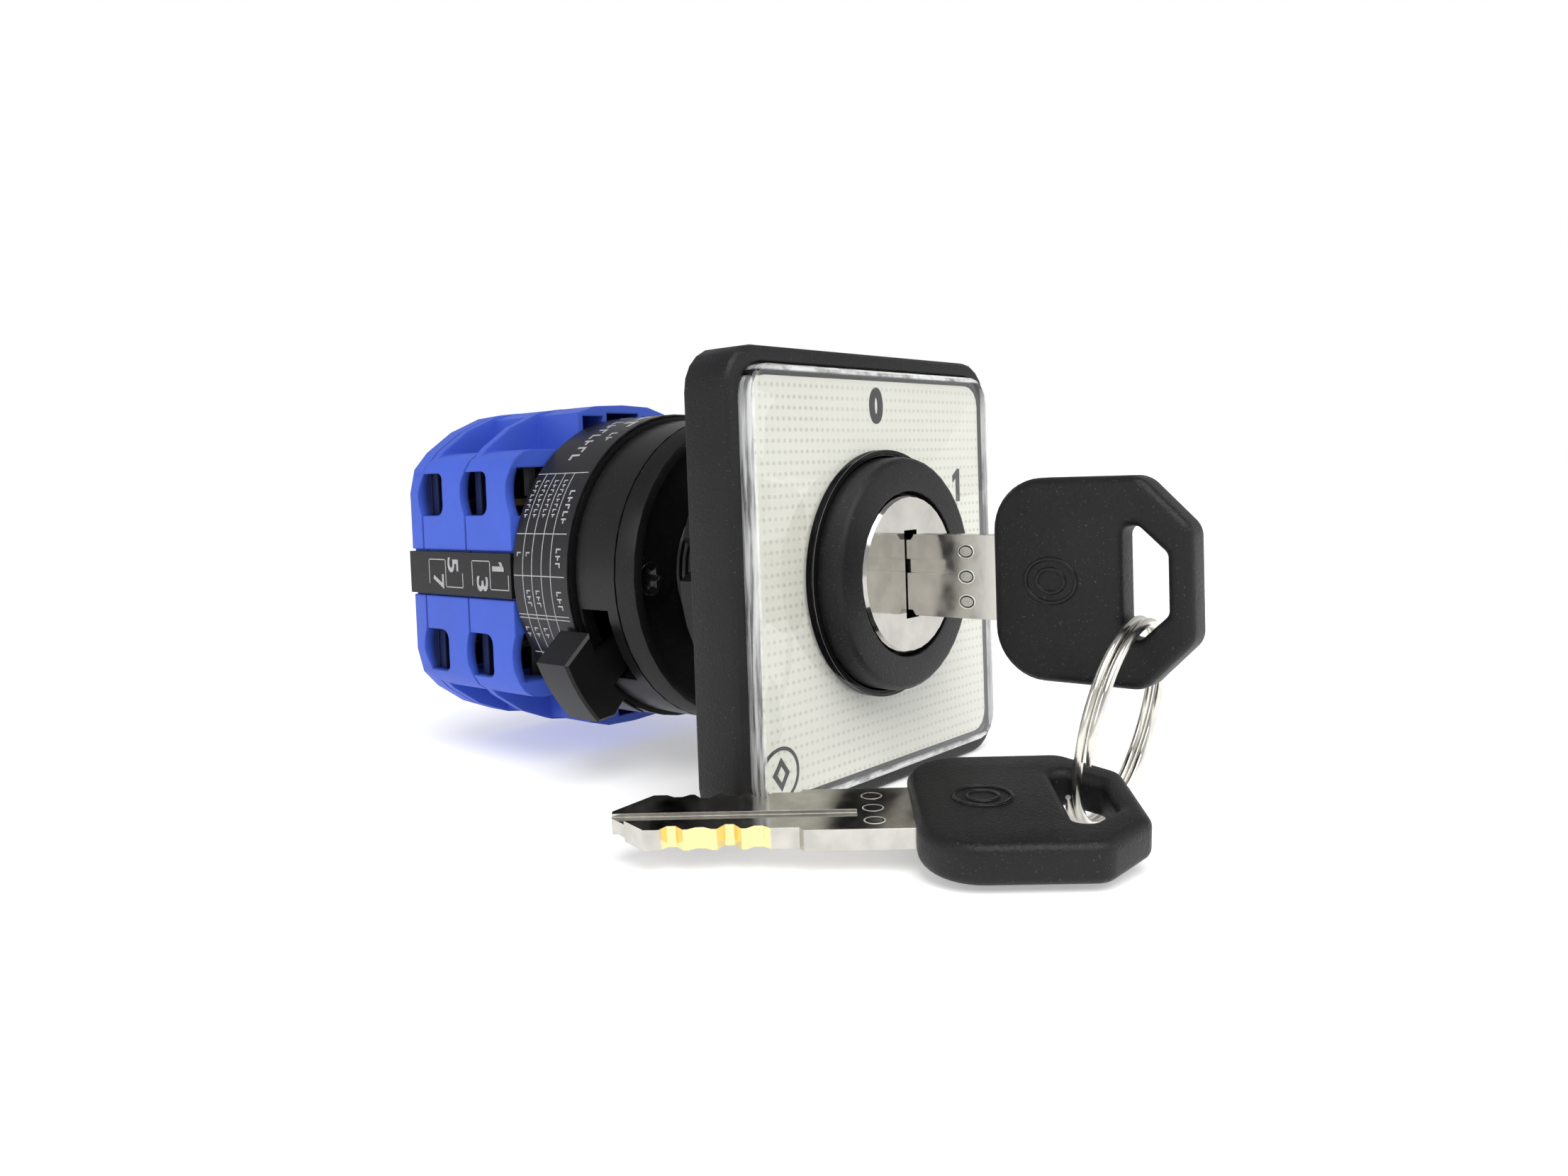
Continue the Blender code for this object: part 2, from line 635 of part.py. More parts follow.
def build_bow(name, material):
    """The key's moulded bow in the same frame as its blade."""
    far, chamfer = -BOW_LENGTH, -BOW_CHAMFER_START
    half, far_half = BOW_HALF_WIDTH, BOW_FAR_HALF
    outline = rounded_polygon([
        (0, -half, BOW_NEAR_CORNER), (0, half, BOW_NEAR_CORNER), (chamfer, half, BOW_CHAMFER_ROUND),
        (far, far_half, BOW_FAR_ROUND), (far, -far_half, BOW_FAR_ROUND),
        (chamfer, -half, BOW_CHAMFER_ROUND)], 4)
    thick = BOW_HALF_THICKNESS
    bm = prism(outline, -thick, thick, "X", BOW_EDGE_ROUND, BOW_EDGE_ROUND)
    bow = new_object(name, bm, material)
    near, far_side, bend = -HOLE_NEAR, -HOLE_FAR, -HOLE_CHAMFER_START
    corners = [(near, -HOLE_HALF_NEAR), (near, HOLE_HALF_NEAR), (bend, HOLE_HALF_NEAR),
               (far_side, HOLE_HALF_FAR), (far_side, -HOLE_HALF_FAR), (bend, -HOLE_HALF_NEAR)]
    hole = rounded_polygon([(y, z, HOLE_ROUND) for y, z in corners], 2)
    slot_x = BLADE_HALF_THICKNESS + TANG_GAP
    slot_z = BLADE_HALF_WIDTH + TANG_GAP
    return cut(bow, prism(hole, -thick - PAST, thick + PAST, "X"),
               box((-slot_x, slot_x), (-TANG_LENGTH - GAP, PAST), (-slot_z, slot_z)))


def loose_key_matrix():
    """Lay the second key down: its face turns up, its blade points along the heading."""
    lay_down = Matrix(((0, 1, 0), (0, 0, 1), (1, 0, 0))).to_4x4()
    heading = Matrix.Rotation(radians(KEY_2_HEADING), 4, "Z")
    lean = Matrix.Rotation(radians(KEY_2_LEAN), 4, "X")
    return Matrix.Translation(Vector(KEY_2_PLACE) * MM) @ heading @ lean @ lay_down


def build_keys(steel, plastic):
    inserted = [build_blade("key_1_blade", steel), build_bow("key_1_bow", plastic)]
    for obj in inserted:
        obj.location = (0, KEY_1_FRONT * MM, 0)
    loose = [build_blade("key_2_blade", steel), build_bow("key_2_bow", plastic)]
    centre = Vector(RING_CENTRE) * MM
    for obj in loose:
        obj.data.transform(Matrix.Translation(-centre) @ loose_key_matrix())
        obj.location = centre
    return inserted + loose


def build_split_ring(material):
    """Two close turns of flattened wire, drawn as a helix about the ring's own normal."""
    normal = Vector(RING_NORMAL).normalized()
    across = normal.cross(Vector((0, 0, 1))).normalized()
    up = normal.cross(across)
    count = round(RING_TURNS * RING_STEPS_PER_TURN)
    path = []
    for k in range(count + 1):
        angle = tau * RING_TURNS * k / count + radians(RING_START_ANGLE)
        outward = across * cos(angle) + up * sin(angle)
        lift = RING_PITCH * RING_TURNS * (k / count - 0.5)
        path.append((Vector(RING_CENTRE) + outward * RING_RADIUS + normal * lift, outward, normal))
    ring = new_object("split_ring", wire(path, WIRE_RADIAL, WIRE_AXIAL), material)
    set_origin(ring, RING_CENTRE)
    return ring


# === Housings =============================================================================
def build_front_cap(material):
    edge = arc((CAP_FRONT_RADIUS - CAP_EDGE_ROUND, CAP_FRONT + CAP_EDGE_ROUND), CAP_EDGE_ROUND, -90, 0, 2)
    profile = [(CAP_RIM_INNER, CAP_FRONT)] + edge
    profile += [(HOUSING_RADIUS, CAP_BACK), (NECK_BORE, CAP_BACK),
                (NECK_BORE, CAP_FLOOR), (CAP_RIM_INNER, CAP_FLOOR)]
    cap = new_object("front_cap", turned(profile, 40), material)
    for side in (-1, 1):
        pad_centre = (side * (FRONT_SCREW_X - CAP_PAD_SHIFT), 0)
        add(cap, cylinder(CAP_PAD_RADIUS, CAP_FLOOR - CAP_PAD_RISE, CAP_FLOOR + BITE, 20, pad_centre))
        cut(cap, screw_bore(side * FRONT_SCREW_X, CAP_FRONT, CAP_BACK + PAST))
    return cap


def boss(x, front, back):
    return cylinder(BOSS_RADIUS, front, back, 16, (x, 0))


def screw_bore(x, front, back):
    return cylinder(SCREW_BORE, front, back, 12, (x, 0))


def build_front_housing(material):
    front, back = FRONT_HOUSING_FRONT, FRONT_HOUSING_BACK
    profile = [(NECK_BORE, front), (HOUSING_RADIUS, front), (HOUSING_RADIUS, back),
               (FRONT_CAVITY, back), (FRONT_CAVITY, front + FRONT_WEB), (NECK_BORE, front + FRONT_WEB)]
    housing = new_object("front_housing", turned(profile, 48), material)
    slot_inner, slot_outer = FRONT_CAVITY - SLOT_DEPTH, HOUSING_RADIUS + PAST
    slot_profile = [(slot_inner, SLOT_FRONT + FRONT_WEB), (slot_outer, SLOT_FRONT + FRONT_WEB),
                    (slot_outer, SLOT_BACK), (slot_inner, SLOT_BACK)]
    cut(housing, turned(slot_profile, 6, sector=SLOT_ANGLES))
    for side in (-1, 1):
        x = side * FRONT_SCREW_X
        add(housing, boss(x, front + FRONT_WEB - BITE, back - BOSS_SETBACK))
        cut(housing, screw_bore(x, front - PAST, back + PAST))
    return housing


def build_release_lever(material):
    """A ring round the lock's neck with an arm through the housing to a thumb pad."""
    ring_profile = [(LEVER_RING_INNER, LEVER_FRONT), (LEVER_RING_OUTER, LEVER_FRONT),
                    (LEVER_RING_OUTER, LEVER_RING_BACK), (LEVER_RING_INNER, LEVER_RING_BACK)]
    lever = new_object("release_lever", turned(ring_profile, 32), material)
    lug_profile = [(LEVER_LUG_INNER, LEVER_FRONT), (LEVER_RING_INNER + BITE, LEVER_FRONT),
                   (LEVER_RING_INNER + BITE, LEVER_RING_BACK), (LEVER_LUG_INNER, LEVER_RING_BACK)]
    half = LEVER_LUG_HALF_ANGLE
    lugs = [turned(lug_profile, 4, sector=(side - half, side + half)) for side in (0, 180)]
    arm = turned([(LEVER_RING_OUTER - BITE, LEVER_FRONT), (LEVER_PAD_INNER + BITE, LEVER_FRONT),
                  (LEVER_PAD_INNER + BITE, LEVER_RING_BACK), (LEVER_RING_OUTER - BITE, LEVER_RING_BACK)],
                 3, sector=LEVER_WEB_ANGLES)
    outer = arc((0, 0), LEVER_PAD_OUTER, LEVER_PAD_TOP, LEVER_PAD_END - LEVER_PAD_TIP_TURN, 6)
    tip = arc((0, 0), LEVER_PAD_OUTER - LEVER_PAD_TIP_SETBACK, LEVER_PAD_END, LEVER_PAD_END, 1)[:1]
    inner = arc((0, 0), LEVER_PAD_INNER, LEVER_PAD_END, LEVER_PAD_TOP_INNER, 6)
    pad = prism(outer + tip + inner, LEVER_FRONT, LEVER_PAD_BACK, low_round=LEVER_EDGE_ROUND, steps=1)
    return add(lever, *lugs, arm, pad)


def build_rear_housing(material):
    front, back = REAR_HOUSING_FRONT, REAR_HOUSING_BACK
    web = back - REAR_WEB
    profile = [(REAR_CAVITY, front), (REAR_HOUSING_RADIUS, front), (REAR_HOUSING_RADIUS, back),
               (SHAFT_BORE, back), (SHAFT_BORE, web), (REAR_CAVITY, web)]
    housing = new_object("rear_housing", turned(profile, 48), material)
    for side in (-1, 1):
        add(housing, boss(side * FRONT_SCREW_X, front + BOSS_SETBACK, FRONT_SCREW_END + PAST),
            boss(side * TIE_SCREW_X, TIE_SCREW_FRONT - PAST, back - BITE))
        cut(housing, screw_bore(side * FRONT_SCREW_X, front - PAST, FRONT_SCREW_END + GAP),
            screw_bore(side * TIE_SCREW_X, TIE_SCREW_FRONT - GAP, back + PAST))
    return housing


def build_rating_label(material):
    front = REAR_HOUSING_FRONT + LABEL_INSET
    back = REAR_HOUSING_BACK - LABEL_INSET
    profile = [(LABEL_INNER, front), (LABEL_OUTER, front), (LABEL_OUTER, back), (LABEL_INNER, back)]
    return new_object("rating_label", turned(profile, 30, sector=LABEL_ANGLES), material)


# === Fasteners ============================================================================
def lobed_socket(lobes, outer, inner, centre):
    """Outline of a star-shaped drive recess."""
    points = []
    for k in range(lobes * 2):
        radius = outer if k % 2 == 0 else inner
        angle = pi * k / lobes
        points.append((centre[0] + radius * cos(angle), centre[1] + radius * sin(angle)))
    return points


def build_front_screws(material):
    screws = []
    for name, side in (("left", -1), ("right", 1)):
        centre = (side * FRONT_SCREW_X, 0)
        face, seat = FRONT_SCREW_HEAD_FRONT, CAP_FLOOR - CAP_PAD_RISE - GAP / 2
        head = cylinder(FRONT_SCREW_HEAD, face, seat, 18, centre)
        screw = new_object(f"front_screw_{name}", head, material)
        add(screw, cylinder(FRONT_SCREW_SHANK, seat - BITE, FRONT_SCREW_END, 12, centre))
        star = lobed_socket(STAR_LOBES, STAR_OUTER, STAR_INNER, centre)
        screws.append(cut(screw, prism(star, face - PAST, face + STAR_DEPTH)))
    return screws


def build_tie_screws(material):
    screws = []
    for name, side in (("left", -1), ("right", 1)):
        centre = (side * TIE_SCREW_X, 0)
        face = END_PLATE_BACK - TIE_SCREW_SETBACK
        head = cylinder(TIE_SCREW_HEAD, face - TIE_SCREW_HEAD_DEPTH, face, 18, centre)
        screw = new_object(f"tie_screw_{name}", head, material)
        shank_end = face - TIE_SCREW_HEAD_DEPTH + BITE
        add(screw, cylinder(TIE_SCREW_SHANK, TIE_SCREW_FRONT, shank_end, 12, centre))
        arms = ((CROSS_HALF_LENGTH, CROSS_HALF_WIDTH), (CROSS_HALF_WIDTH, CROSS_HALF_LENGTH))
        slot_y = (face - CROSS_DEPTH, face + PAST)
        slots = [box((centre[0] - a, centre[0] + a), slot_y, (-b, b)) for a, b in arms]
        screws.append(cut(screw, *slots))
    return screws


# === Shaft and detent =====================================================================
def square_prism(half, front, back):
    return box((-half, half), (front, back), (-half, half))


def build_main_shaft(material):
    collar = cylinder(SHAFT_COLLAR_RADIUS, SHAFT_FRONT, SHAFT_COLLAR_BACK, 24)
    shaft = new_object("main_shaft", collar, material)
    cut(shaft, square_prism(SOCKET_HALF, SHAFT_FRONT - PAST, SOCKET_BACK))
    return add(shaft, square_prism(SHAFT_HALF, SHAFT_COLLAR_BACK - BITE, SHAFT_END))


def build_detent(white, steel):
    steps = 48
    outline = []
    for k in range(steps):
        angle = tau * k / steps
        radius = DETENT_CREST - DETENT_DIP * (0.5 + 0.5 * cos(DETENT_POSITIONS * angle))
        outline.append((radius * cos(angle), radius * sin(angle)))
    wheel = new_object("detent_wheel", prism(outline, DETENT_FRONT, DETENT_BACK), white)
    cut(wheel, square_prism(SHAFT_CLEAR_HALF, DETENT_FRONT - PAST, DETENT_BACK + PAST))
    clip_profile = [(CLIP_INNER, DETENT_FRONT + CLIP_INSET), (CLIP_OUTER, DETENT_FRONT + CLIP_INSET),
                    (CLIP_OUTER, DETENT_BACK - CLIP_INSET), (CLIP_INNER, DETENT_BACK - CLIP_INSET)]
    clip = new_object("detent_clip", turned(clip_profile, 24, sector=CLIP_SECTOR), steel)
    return [wheel, clip]


# === Contact stages =======================================================================
def stage_start(stage):
    return STAGE_FRONT + (stage - 1) * STAGE_PITCH


def full_silhouette():
    """The rounded outline of the end plate and of the rib at the back of each stage."""
    upper = list(SILHOUETTE) + mirrored(SILHOUETTE)
    return upper + [(-x, -z) for x, z in upper]


def block_outline():
    """The raised centre block, which runs from the top crown to the bottom one."""
    side = [(BLOCK_HALF_WIDTH, BLOCK_SHOULDER), BLOCK_CROWN]
    crown = side + [(0, BLOCK_TOP)] + mirrored(side)
    return crown + [(-x, -z) for x, z in crown]


def stage_cavity(front):
    """Bodies that hollow a stage from its front: cam chamber, channels, spring pockets."""
    back = front + CAVITY_DEPTH
    mouth = front - PAST
    bodies = [cylinder(CAM_CHAMBER, mouth, back, 24),
              box((-STEM_SLOT_HALF, STEM_SLOT_HALF), (mouth, back), (-SPRING_POCKET_TOP, SPRING_POCKET_TOP))]
    width = CHANNEL_HALF_WIDTH
    for low, high in ((CHANNEL_LOW, CHANNEL_HIGH), (-CHANNEL_HIGH, -CHANNEL_LOW)):
        bodies.append(box((-width, width), (mouth, back), (low, high)))
    for side in (-1, 1):
        x = sorted((side * SIDE_POCKET_INNER, side * SIDE_POCKET_OUTER))
        for end in (-1, 1):
            z = sorted((end * SIDE_POCKET_LOW, end * SIDE_POCKET_HIGH))
            bodies.append(box(x, (mouth, back), z))
    return bodies


def entry_lips(front):
    """Bodies that hollow a front edge where it closes the wire entries ahead of it."""
    half = (ENTRY_HIGH - ENTRY_LOW) / 2
    middle = (ENTRY_HIGH + ENTRY_LOW) / 2
    radius = (half ** 2 + ENTRY_LIP ** 2) / (2 * ENTRY_LIP)
    bodies = []
    for side in (-1, 1):
        x = sorted((side * ENTRY_INNER, side * (STAGE_HALF_WIDTH + PAST)))
        for end in (-1, 1):
            hollow = circle(radius, ENTRY_LIP_STEPS, (front + ENTRY_LIP - radius, end * middle))
            bodies.append(prism(hollow, *x, "X"))
    return bodies


def stage_openings(front):
    """Bodies that open a stage's sides: wire entries, screw access holes, strip grooves."""
    bodies = entry_lips(front)
    open_end = STAGE_DEPTH + ENTRY_CORNER + PAST
    half_y = (open_end - ENTRY_FRONT) / 2
    half_z = (ENTRY_HIGH - ENTRY_LOW) / 2
    middle_y = front + (open_end + ENTRY_FRONT) / 2
    hole = rounded_rect(half_y, half_z, ENTRY_CORNER, 4)
    middle_z = (ENTRY_HIGH + ENTRY_LOW) / 2
    for side in (-1, 1):
        x = sorted((side * ENTRY_INNER, side * (STAGE_HALF_WIDTH + PAST)))
        for end in (-1, 1):
            entry = [(middle_y + y, end * middle_z + z) for y, z in hole]
            bodies.append(prism(entry, *x, "X"))
            z = sorted((end * (CHANNEL_HIGH - PAST), end * (STAGE_HALF_HEIGHT + PAST)))
            access = circle(ACCESS_RADIUS, 14, (side * TERMINAL_SCREW_X, front + TERMINAL_SCREW_Y))
            bodies.append(prism(access, *z, "Z"))
        groove = sorted((side * STRIP_GROOVE, side * (STAGE_HALF_WIDTH + PAST)))
        height = STRIP_HALF_HEIGHT + GAP
        bodies.append(box(groove, (front - PAST, front + STAGE_DEPTH + PAST), (-height, height)))
    return bodies


def build_stage(stage, material):
    front = stage_start(stage)
    back = front + STAGE_DEPTH
    core = rounded_rect(STAGE_HALF_WIDTH, STAGE_HALF_HEIGHT, STAGE_CORNER, 4)
    housing = new_object(f"stage_{stage}", prism(core, front, back), material)
    add(housing, prism(block_outline(), front, back), prism(full_silhouette(), back - RIB_DEPTH, back))
    cut(housing, *stage_cavity(front), *stage_openings(front))
    cut(housing, cylinder(SHAFT_BORE, front, back + PAST, 20))
    for side in (-1, 1):
        cut(housing, screw_bore(side * TIE_SCREW_X, front - PAST, back + PAST))
    return housing


def build_end_plate(material):
    front = stage_start(STAGE_COUNT) + STAGE_DEPTH + GAP
    body = prism(full_silhouette(), front, END_PLATE_BACK, high_round=END_PLATE_ROUND, steps=2)
    plate = new_object("end_plate", body, material)
    cut(plate, cylinder(SHAFT_BORE, front - PAST, END_PLATE_BACK + PAST, 20), *entry_lips(front))
    height = STRIP_HALF_HEIGHT + GAP
    for side in (-1, 1):
        x = side * TIE_SCREW_X
        groove = sorted((side * STRIP_GROOVE, side * (STAGE_HALF_WIDTH + PAST)))
        seat = END_PLATE_BACK - TIE_SCREW_SEAT_DEPTH
        cut(plate, screw_bore(x, front - PAST, END_PLATE_BACK + PAST),
            cylinder(TIE_SCREW_SEAT, seat, END_PLATE_BACK + PAST, 18, (x, 0)),
            box(groove, (front - PAST, END_PLATE_BACK + PAST), (-height, height)))
    return plate


def build_number_strips(material):
    strips = []
    for name, side in (("left", -1), ("right", 1)):
        x = sorted((side * STRIP_FACE, side * STRIP_BACK_FACE))
        bm = box(x, (STAGE_FRONT, END_PLATE_BACK), (-STRIP_HALF_HEIGHT, STRIP_HALF_HEIGHT))
        strips.append(new_object(f"number_strip_{name}", bm, material))
    return strips


def cam_outline():
    """Two equal ramps, so the upper and lower contacts travel together over the turn."""
    half = []
    for turn in range(0, FULL_TURN // 2, CAM_STEP):
        if turn <= CAM_RAMP:
            radius = CAM_HIGH - (CAM_HIGH - CAM_LOW) * turn / CAM_RAMP
        elif turn <= CAM_RAMP + CAM_DWELL:
            radius = CAM_LOW
        else:
            rise = (turn - CAM_RAMP - CAM_DWELL) / (FULL_TURN / 2 - CAM_RAMP - CAM_DWELL)
            radius = CAM_LOW + (CAM_HIGH - CAM_LOW) * rise
        angle = radians(turn + 90)
        half.append((radius * cos(angle), radius * sin(angle)))
    return half + [(-x, -z) for x, z in half]


def build_cam(stage, material):
    front = stage_start(stage) + CAM_INSET
    cam = new_object(f"cam_{stage}", prism(cam_outline(), front, front + CAM_DEPTH), material)
    return cut(cam, square_prism(SHAFT_CLEAR_HALF, front - PAST, front + CAM_DEPTH + PAST))


def build_bridge(stage, end, material):
    """A moving contact: a foot on the cam, a stem and a blade that joins two terminals."""
    start = stage_start(stage)
    limits = (start + BRIDGE_FRONT, start + BRIDGE_BACK)
    stem, blade, slope = BRIDGE_STEM_HALF, BRIDGE_HALF_LENGTH, BRIDGE_CHAMFER
    outline = [(-stem + slope, BRIDGE_FOOT), (stem - slope, BRIDGE_FOOT), (stem, BRIDGE_FOOT + slope),
               (stem, BRIDGE_BLADE_LOW), (blade, BRIDGE_BLADE_LOW), (blade, BRIDGE_BLADE_HIGH),
               (-blade, BRIDGE_BLADE_HIGH), (-blade, BRIDGE_BLADE_LOW), (-stem, BRIDGE_BLADE_LOW),
               (-stem, BRIDGE_FOOT + slope)]
    name = "upper" if end > 0 else "lower"
    points = [(x, end * z) for x, z in outline]
    return new_object(f"contact_bridge_{stage}_{name}", prism(points, *limits), material)


def build_spring(stage, end, material):
    y = stage_start(stage) + (BRIDGE_FRONT + BRIDGE_BACK) / 2
    count = round(SPRING_TURNS * SPRING_STEPS_PER_TURN)
    path = []
    for k in range(count + 1):
        angle = tau * SPRING_TURNS * k / count
        outward = Vector((cos(angle), sin(angle), 0))
        height = SPRING_LOW + (SPRING_HIGH - SPRING_LOW) * k / count
        path.append((outward * SPRING_RADIUS + Vector((0, y, end * height)), outward, Vector((0, 0, 1))))
    name = "upper" if end > 0 else "lower"
    return new_object(f"contact_spring_{stage}_{name}", wire(path, SPRING_WIRE, SPRING_WIRE), material)


def terminal_number(stage, side, end):
    """Odd numbers stand on the left and even ones on the right; the upper pair comes first."""
    return (stage - 1) * 4 + (0 if end > 0 else 2) + (1 if side < 0 else 2)


def build_terminal(stage, side, end, brass, steel):
    """A fixed contact strip with its clamping screw."""
    start = stage_start(stage)
    number = terminal_number(stage, side, end)
    outline = [(TERMINAL_INNER, TERMINAL_LOW), (TERMINAL_OUTER, TERMINAL_LOW),
               (TERMINAL_OUTER, TERMINAL_HIGH), (TERMINAL_PAD_OUTER + TERMINAL_PAD_SLOPE, TERMINAL_HIGH),
               (TERMINAL_PAD_OUTER, TERMINAL_PAD_HIGH), (TERMINAL_INNER, TERMINAL_PAD_HIGH)]
    points = [(side * x, end * z) for x, z in outline]
    body = prism(points, start + BRIDGE_FRONT, start + BRIDGE_BACK)
    strip = new_object(f"terminal_{number}", body, brass)
    centre = (side * TERMINAL_SCREW_X, start + TERMINAL_SCREW_Y)
    seat, face = TERMINAL_SCREW_SEAT, TERMINAL_SCREW_FACE
    head = prism(circle(TERMINAL_SCREW_HEAD, 14, centre), *sorted((end * seat, end * face)), "Z")
    screw = new_object(f"terminal_screw_{number}", head, steel)
    shank_z = sorted((end * (TERMINAL_HIGH + GAP), end * (seat + BITE)))
    add(screw, prism(circle(TERMINAL_SCREW_SHANK, 10, centre), *shank_z, "Z"))
    slot_x = (centre[0] - TERMINAL_SCREW_HEAD - PAST, centre[0] + TERMINAL_SCREW_HEAD + PAST)
    slot_y = (centre[1] - TERMINAL_SLOT_HALF, centre[1] + TERMINAL_SLOT_HALF)
    slot_z = sorted((end * (face - TERMINAL_SLOT_DEPTH), end * (face + PAST)))
    cut(screw, box(slot_x, slot_y, slot_z))
    return [strip, screw]


def build_contacts(stage, materials):
    parts = []
    for end in (1, -1):
        parts.append(build_bridge(stage, end, materials["brass"]))
        parts.append(build_spring(stage, end, materials["steel"]))
        for side in (-1, 1):
            parts += build_terminal(stage, side, end, materials["brass"], materials["steel"])
    return parts


def main():
    for obj in list(bpy.data.objects):
        bpy.data.objects.remove(obj, do_unlink=True)
    materials = make_materials()
    black = materials["black_plastic"]
    matte = materials["matte_black"]
    blue = materials["blue_plastic"]
    nickel = materials["nickel"]
    steel = materials["steel"]

    parts = [build_bezel_frame(matte), build_legend_plate(materials["legend"]),
             build_clear_cover(materials["clear"])]
    parts += [build_lock_collar(matte), build_lock_barrel(nickel), build_lock_plug(nickel),
              build_fixing_nut(black)]
    parts += build_wafers(materials["brass"])
    parts += build_keys(nickel, matte)
    parts.append(build_split_ring(nickel))
    parts += [build_front_cap(black), build_front_housing(black), build_release_lever(black),
              build_rear_housing(black), build_rating_label(materials["label"])]
    parts += build_front_screws(steel) + build_tie_screws(steel)
    parts.append(build_main_shaft(black))
    parts += build_detent(materials["white_plastic"], steel)
    for stage in range(1, STAGE_COUNT + 1):
        parts += [build_stage(stage, blue), build_cam(stage, materials["white_plastic"])]
        parts += build_contacts(stage, materials)
    parts.append(build_end_plate(blue))
    parts += build_number_strips(black)
    for obj in parts:
        shade(obj)


main()
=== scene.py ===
"""Looks of the selector key switch: materials, printed marks, finer keys and ring, studio.

The constants are in millimetres and degrees unless they say otherwise, and MM turns the lengths
into metres. Places are in the part's own frame.
+Y runs from the key to the contact stages, +X is the right-hand side from the front, +Z is up.
"""
from math import cos, pi, radians, sin, tan, tau

import bmesh
import bpy
from mathutils import Matrix, Vector


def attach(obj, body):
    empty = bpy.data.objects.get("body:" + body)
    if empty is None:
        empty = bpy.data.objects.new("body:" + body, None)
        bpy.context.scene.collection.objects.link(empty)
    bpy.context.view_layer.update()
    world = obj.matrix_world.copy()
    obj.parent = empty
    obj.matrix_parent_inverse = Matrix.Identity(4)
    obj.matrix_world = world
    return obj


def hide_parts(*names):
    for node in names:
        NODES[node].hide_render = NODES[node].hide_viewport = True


MM = 0.001

# --- Camera and floor ------------------------------------------------------------------------
CAMERA_TURN = (1.49208, -0.70395, 0.62307)      # rotation vector, frame to camera
CAMERA_OFFSET = (10.0048, 5.3488, 131.9694)     # the frame's origin in the camera's axes
CAMERA_LENS = 26.662
CAMERA_SHIFT = (0.02167, -0.04077)
CAMERA_SENSOR = 36.0
CAMERA_CLIP = (0.002, 50.0)                     # metres
FLOOR_HEIGHT = -24.05
FLOOR_HALF_SIZE = 3.0                           # metres
FLOOR_GLOW = 0.36

# --- The part's own nodes --------------------------------------------------------------------
SMOOTH_LIMIT = 28                               # sharper edges of the solids stay sharp
WELD_DISTANCE = 0.0005
THREAD_FLANK = 0.5                              # half the pitch
ENTRY_SIDE = (17.2, 18.6)                       # shade of the wire entries: its limits outwards,
ENTRY_LOW = (7.2, 7.4)                          # towards the switch's middle,
ENTRY_HIGH = (13.0, 13.2)                       # towards its top and bottom,
ENTRY_BACK = (55.9, 56.1)                       # and towards the end plate

# --- Legend plate ----------------------------------------------------------------------------
LEGEND_FRONT = -4.95
DIGIT_RADIUS = 18.3
DIGIT_HEIGHT = 3.9
DIGIT_WIDTH = 2.5
DIGIT_BOLD = 0.065
ONE_TURN = 60
ONE_OUTLINE = ((-0.07, -0.5), (0.15, -0.5), (0.15, 0.5), (0.02, 0.5), (-0.25, 0.30), (-0.25, 0.08),
               (-0.07, 0.22))
ONE_NARROWING = 0.60
INK_DEPTH = 0.03
INK_ROUND = 0.004
MARK_CENTRE = (-18.0, -18.4)
MARK_RADIUS = 2.75
MARK_LINE = 0.36
MARK_DIAMOND = ((1.25, 0), (0, 1.7), (-1.25, 0), (0, -1.7))
MARK_DIAMOND_HOLE = 0.50
WEAVE_PITCH = 1.1
WEAVE_DOTS = 1.25                               # dots along a row for each row's pitch

# --- Clear cover -----------------------------------------------------------------------------
# where the cover's painted edge highlight starts, and where the painted black round its hole ends
RIM_START = 21.35
HOLE_RIM_END = 13.45
LINING_STEPS = 128
LINING_INNER = 12.86
LINING_OUTER = 12.98
LINING_FRONT = -6.95
LINING_BACK = -4.97

# --- Keys and ring, as in the part -----------------------------------------------------------
BOW_LENGTH = 20.1
BOW_HALF_WIDTH = 10.0
BOW_FAR_HALF = 5.2
BOW_CHAMFER_START = 15.3
BOW_HALF_THICKNESS = 1.9
BOW_ROUND = 0.95
HOLE_NEAR = 13.4
HOLE_FAR = 17.7
HOLE_BEND = 15.0
HOLE_HALF_NEAR = 5.3
HOLE_HALF_FAR = 2.8
HOLE_ROUND = 0.9
BLADE_HALF_THICKNESS = 1.0
KEY_1_FRONT = -20.8
KEY_2_PLACE = (-17.95, -21.15, -20.25)
KEY_2_HEADING = 128.6
KEY_2_LEAN = -8.1
EMBLEM_CENTRE = 6.35
EMBLEM_HALF_LENGTH = 2.85
EMBLEM_HALF_WIDTH = 2.35
EMBLEM_LINE = 0.42
EMBLEM_INNER = 0.58                             # the small oval's share of the large one
STAMP_PLACE = 3.5
STAMP_HEIGHT = 2.0
STAMP_HALF_WIDTH = 0.78
STAMP_PITCH = 2.6
STAMP_INSETS = (0, 0.15, 0.27)                  # outside, end of the painted highlight, end of the painted shadow
BRASS_START = 12.6
BRASS_END = 22.3
BRASS_HEIGHT = 2.0
RING_RADIUS = 9.85
RING_CENTRE = (-1.4, -33.6, -13.24)
RING_NORMAL = (0.0917, -0.9739, -0.2075)
RING_TURNS = 1.93
RING_START_ANGLE = 35.0
RING_PITCH = 0.92
RING_STEPS = 96                                 # for each turn
RING_END_SIZE = 0.55                            # the wire's size at its very ends
RING_END_STEPS = 3
WIRE_RADIAL = 0.5
WIRE_AXIAL = 0.42
WIRE_STEPS = 14

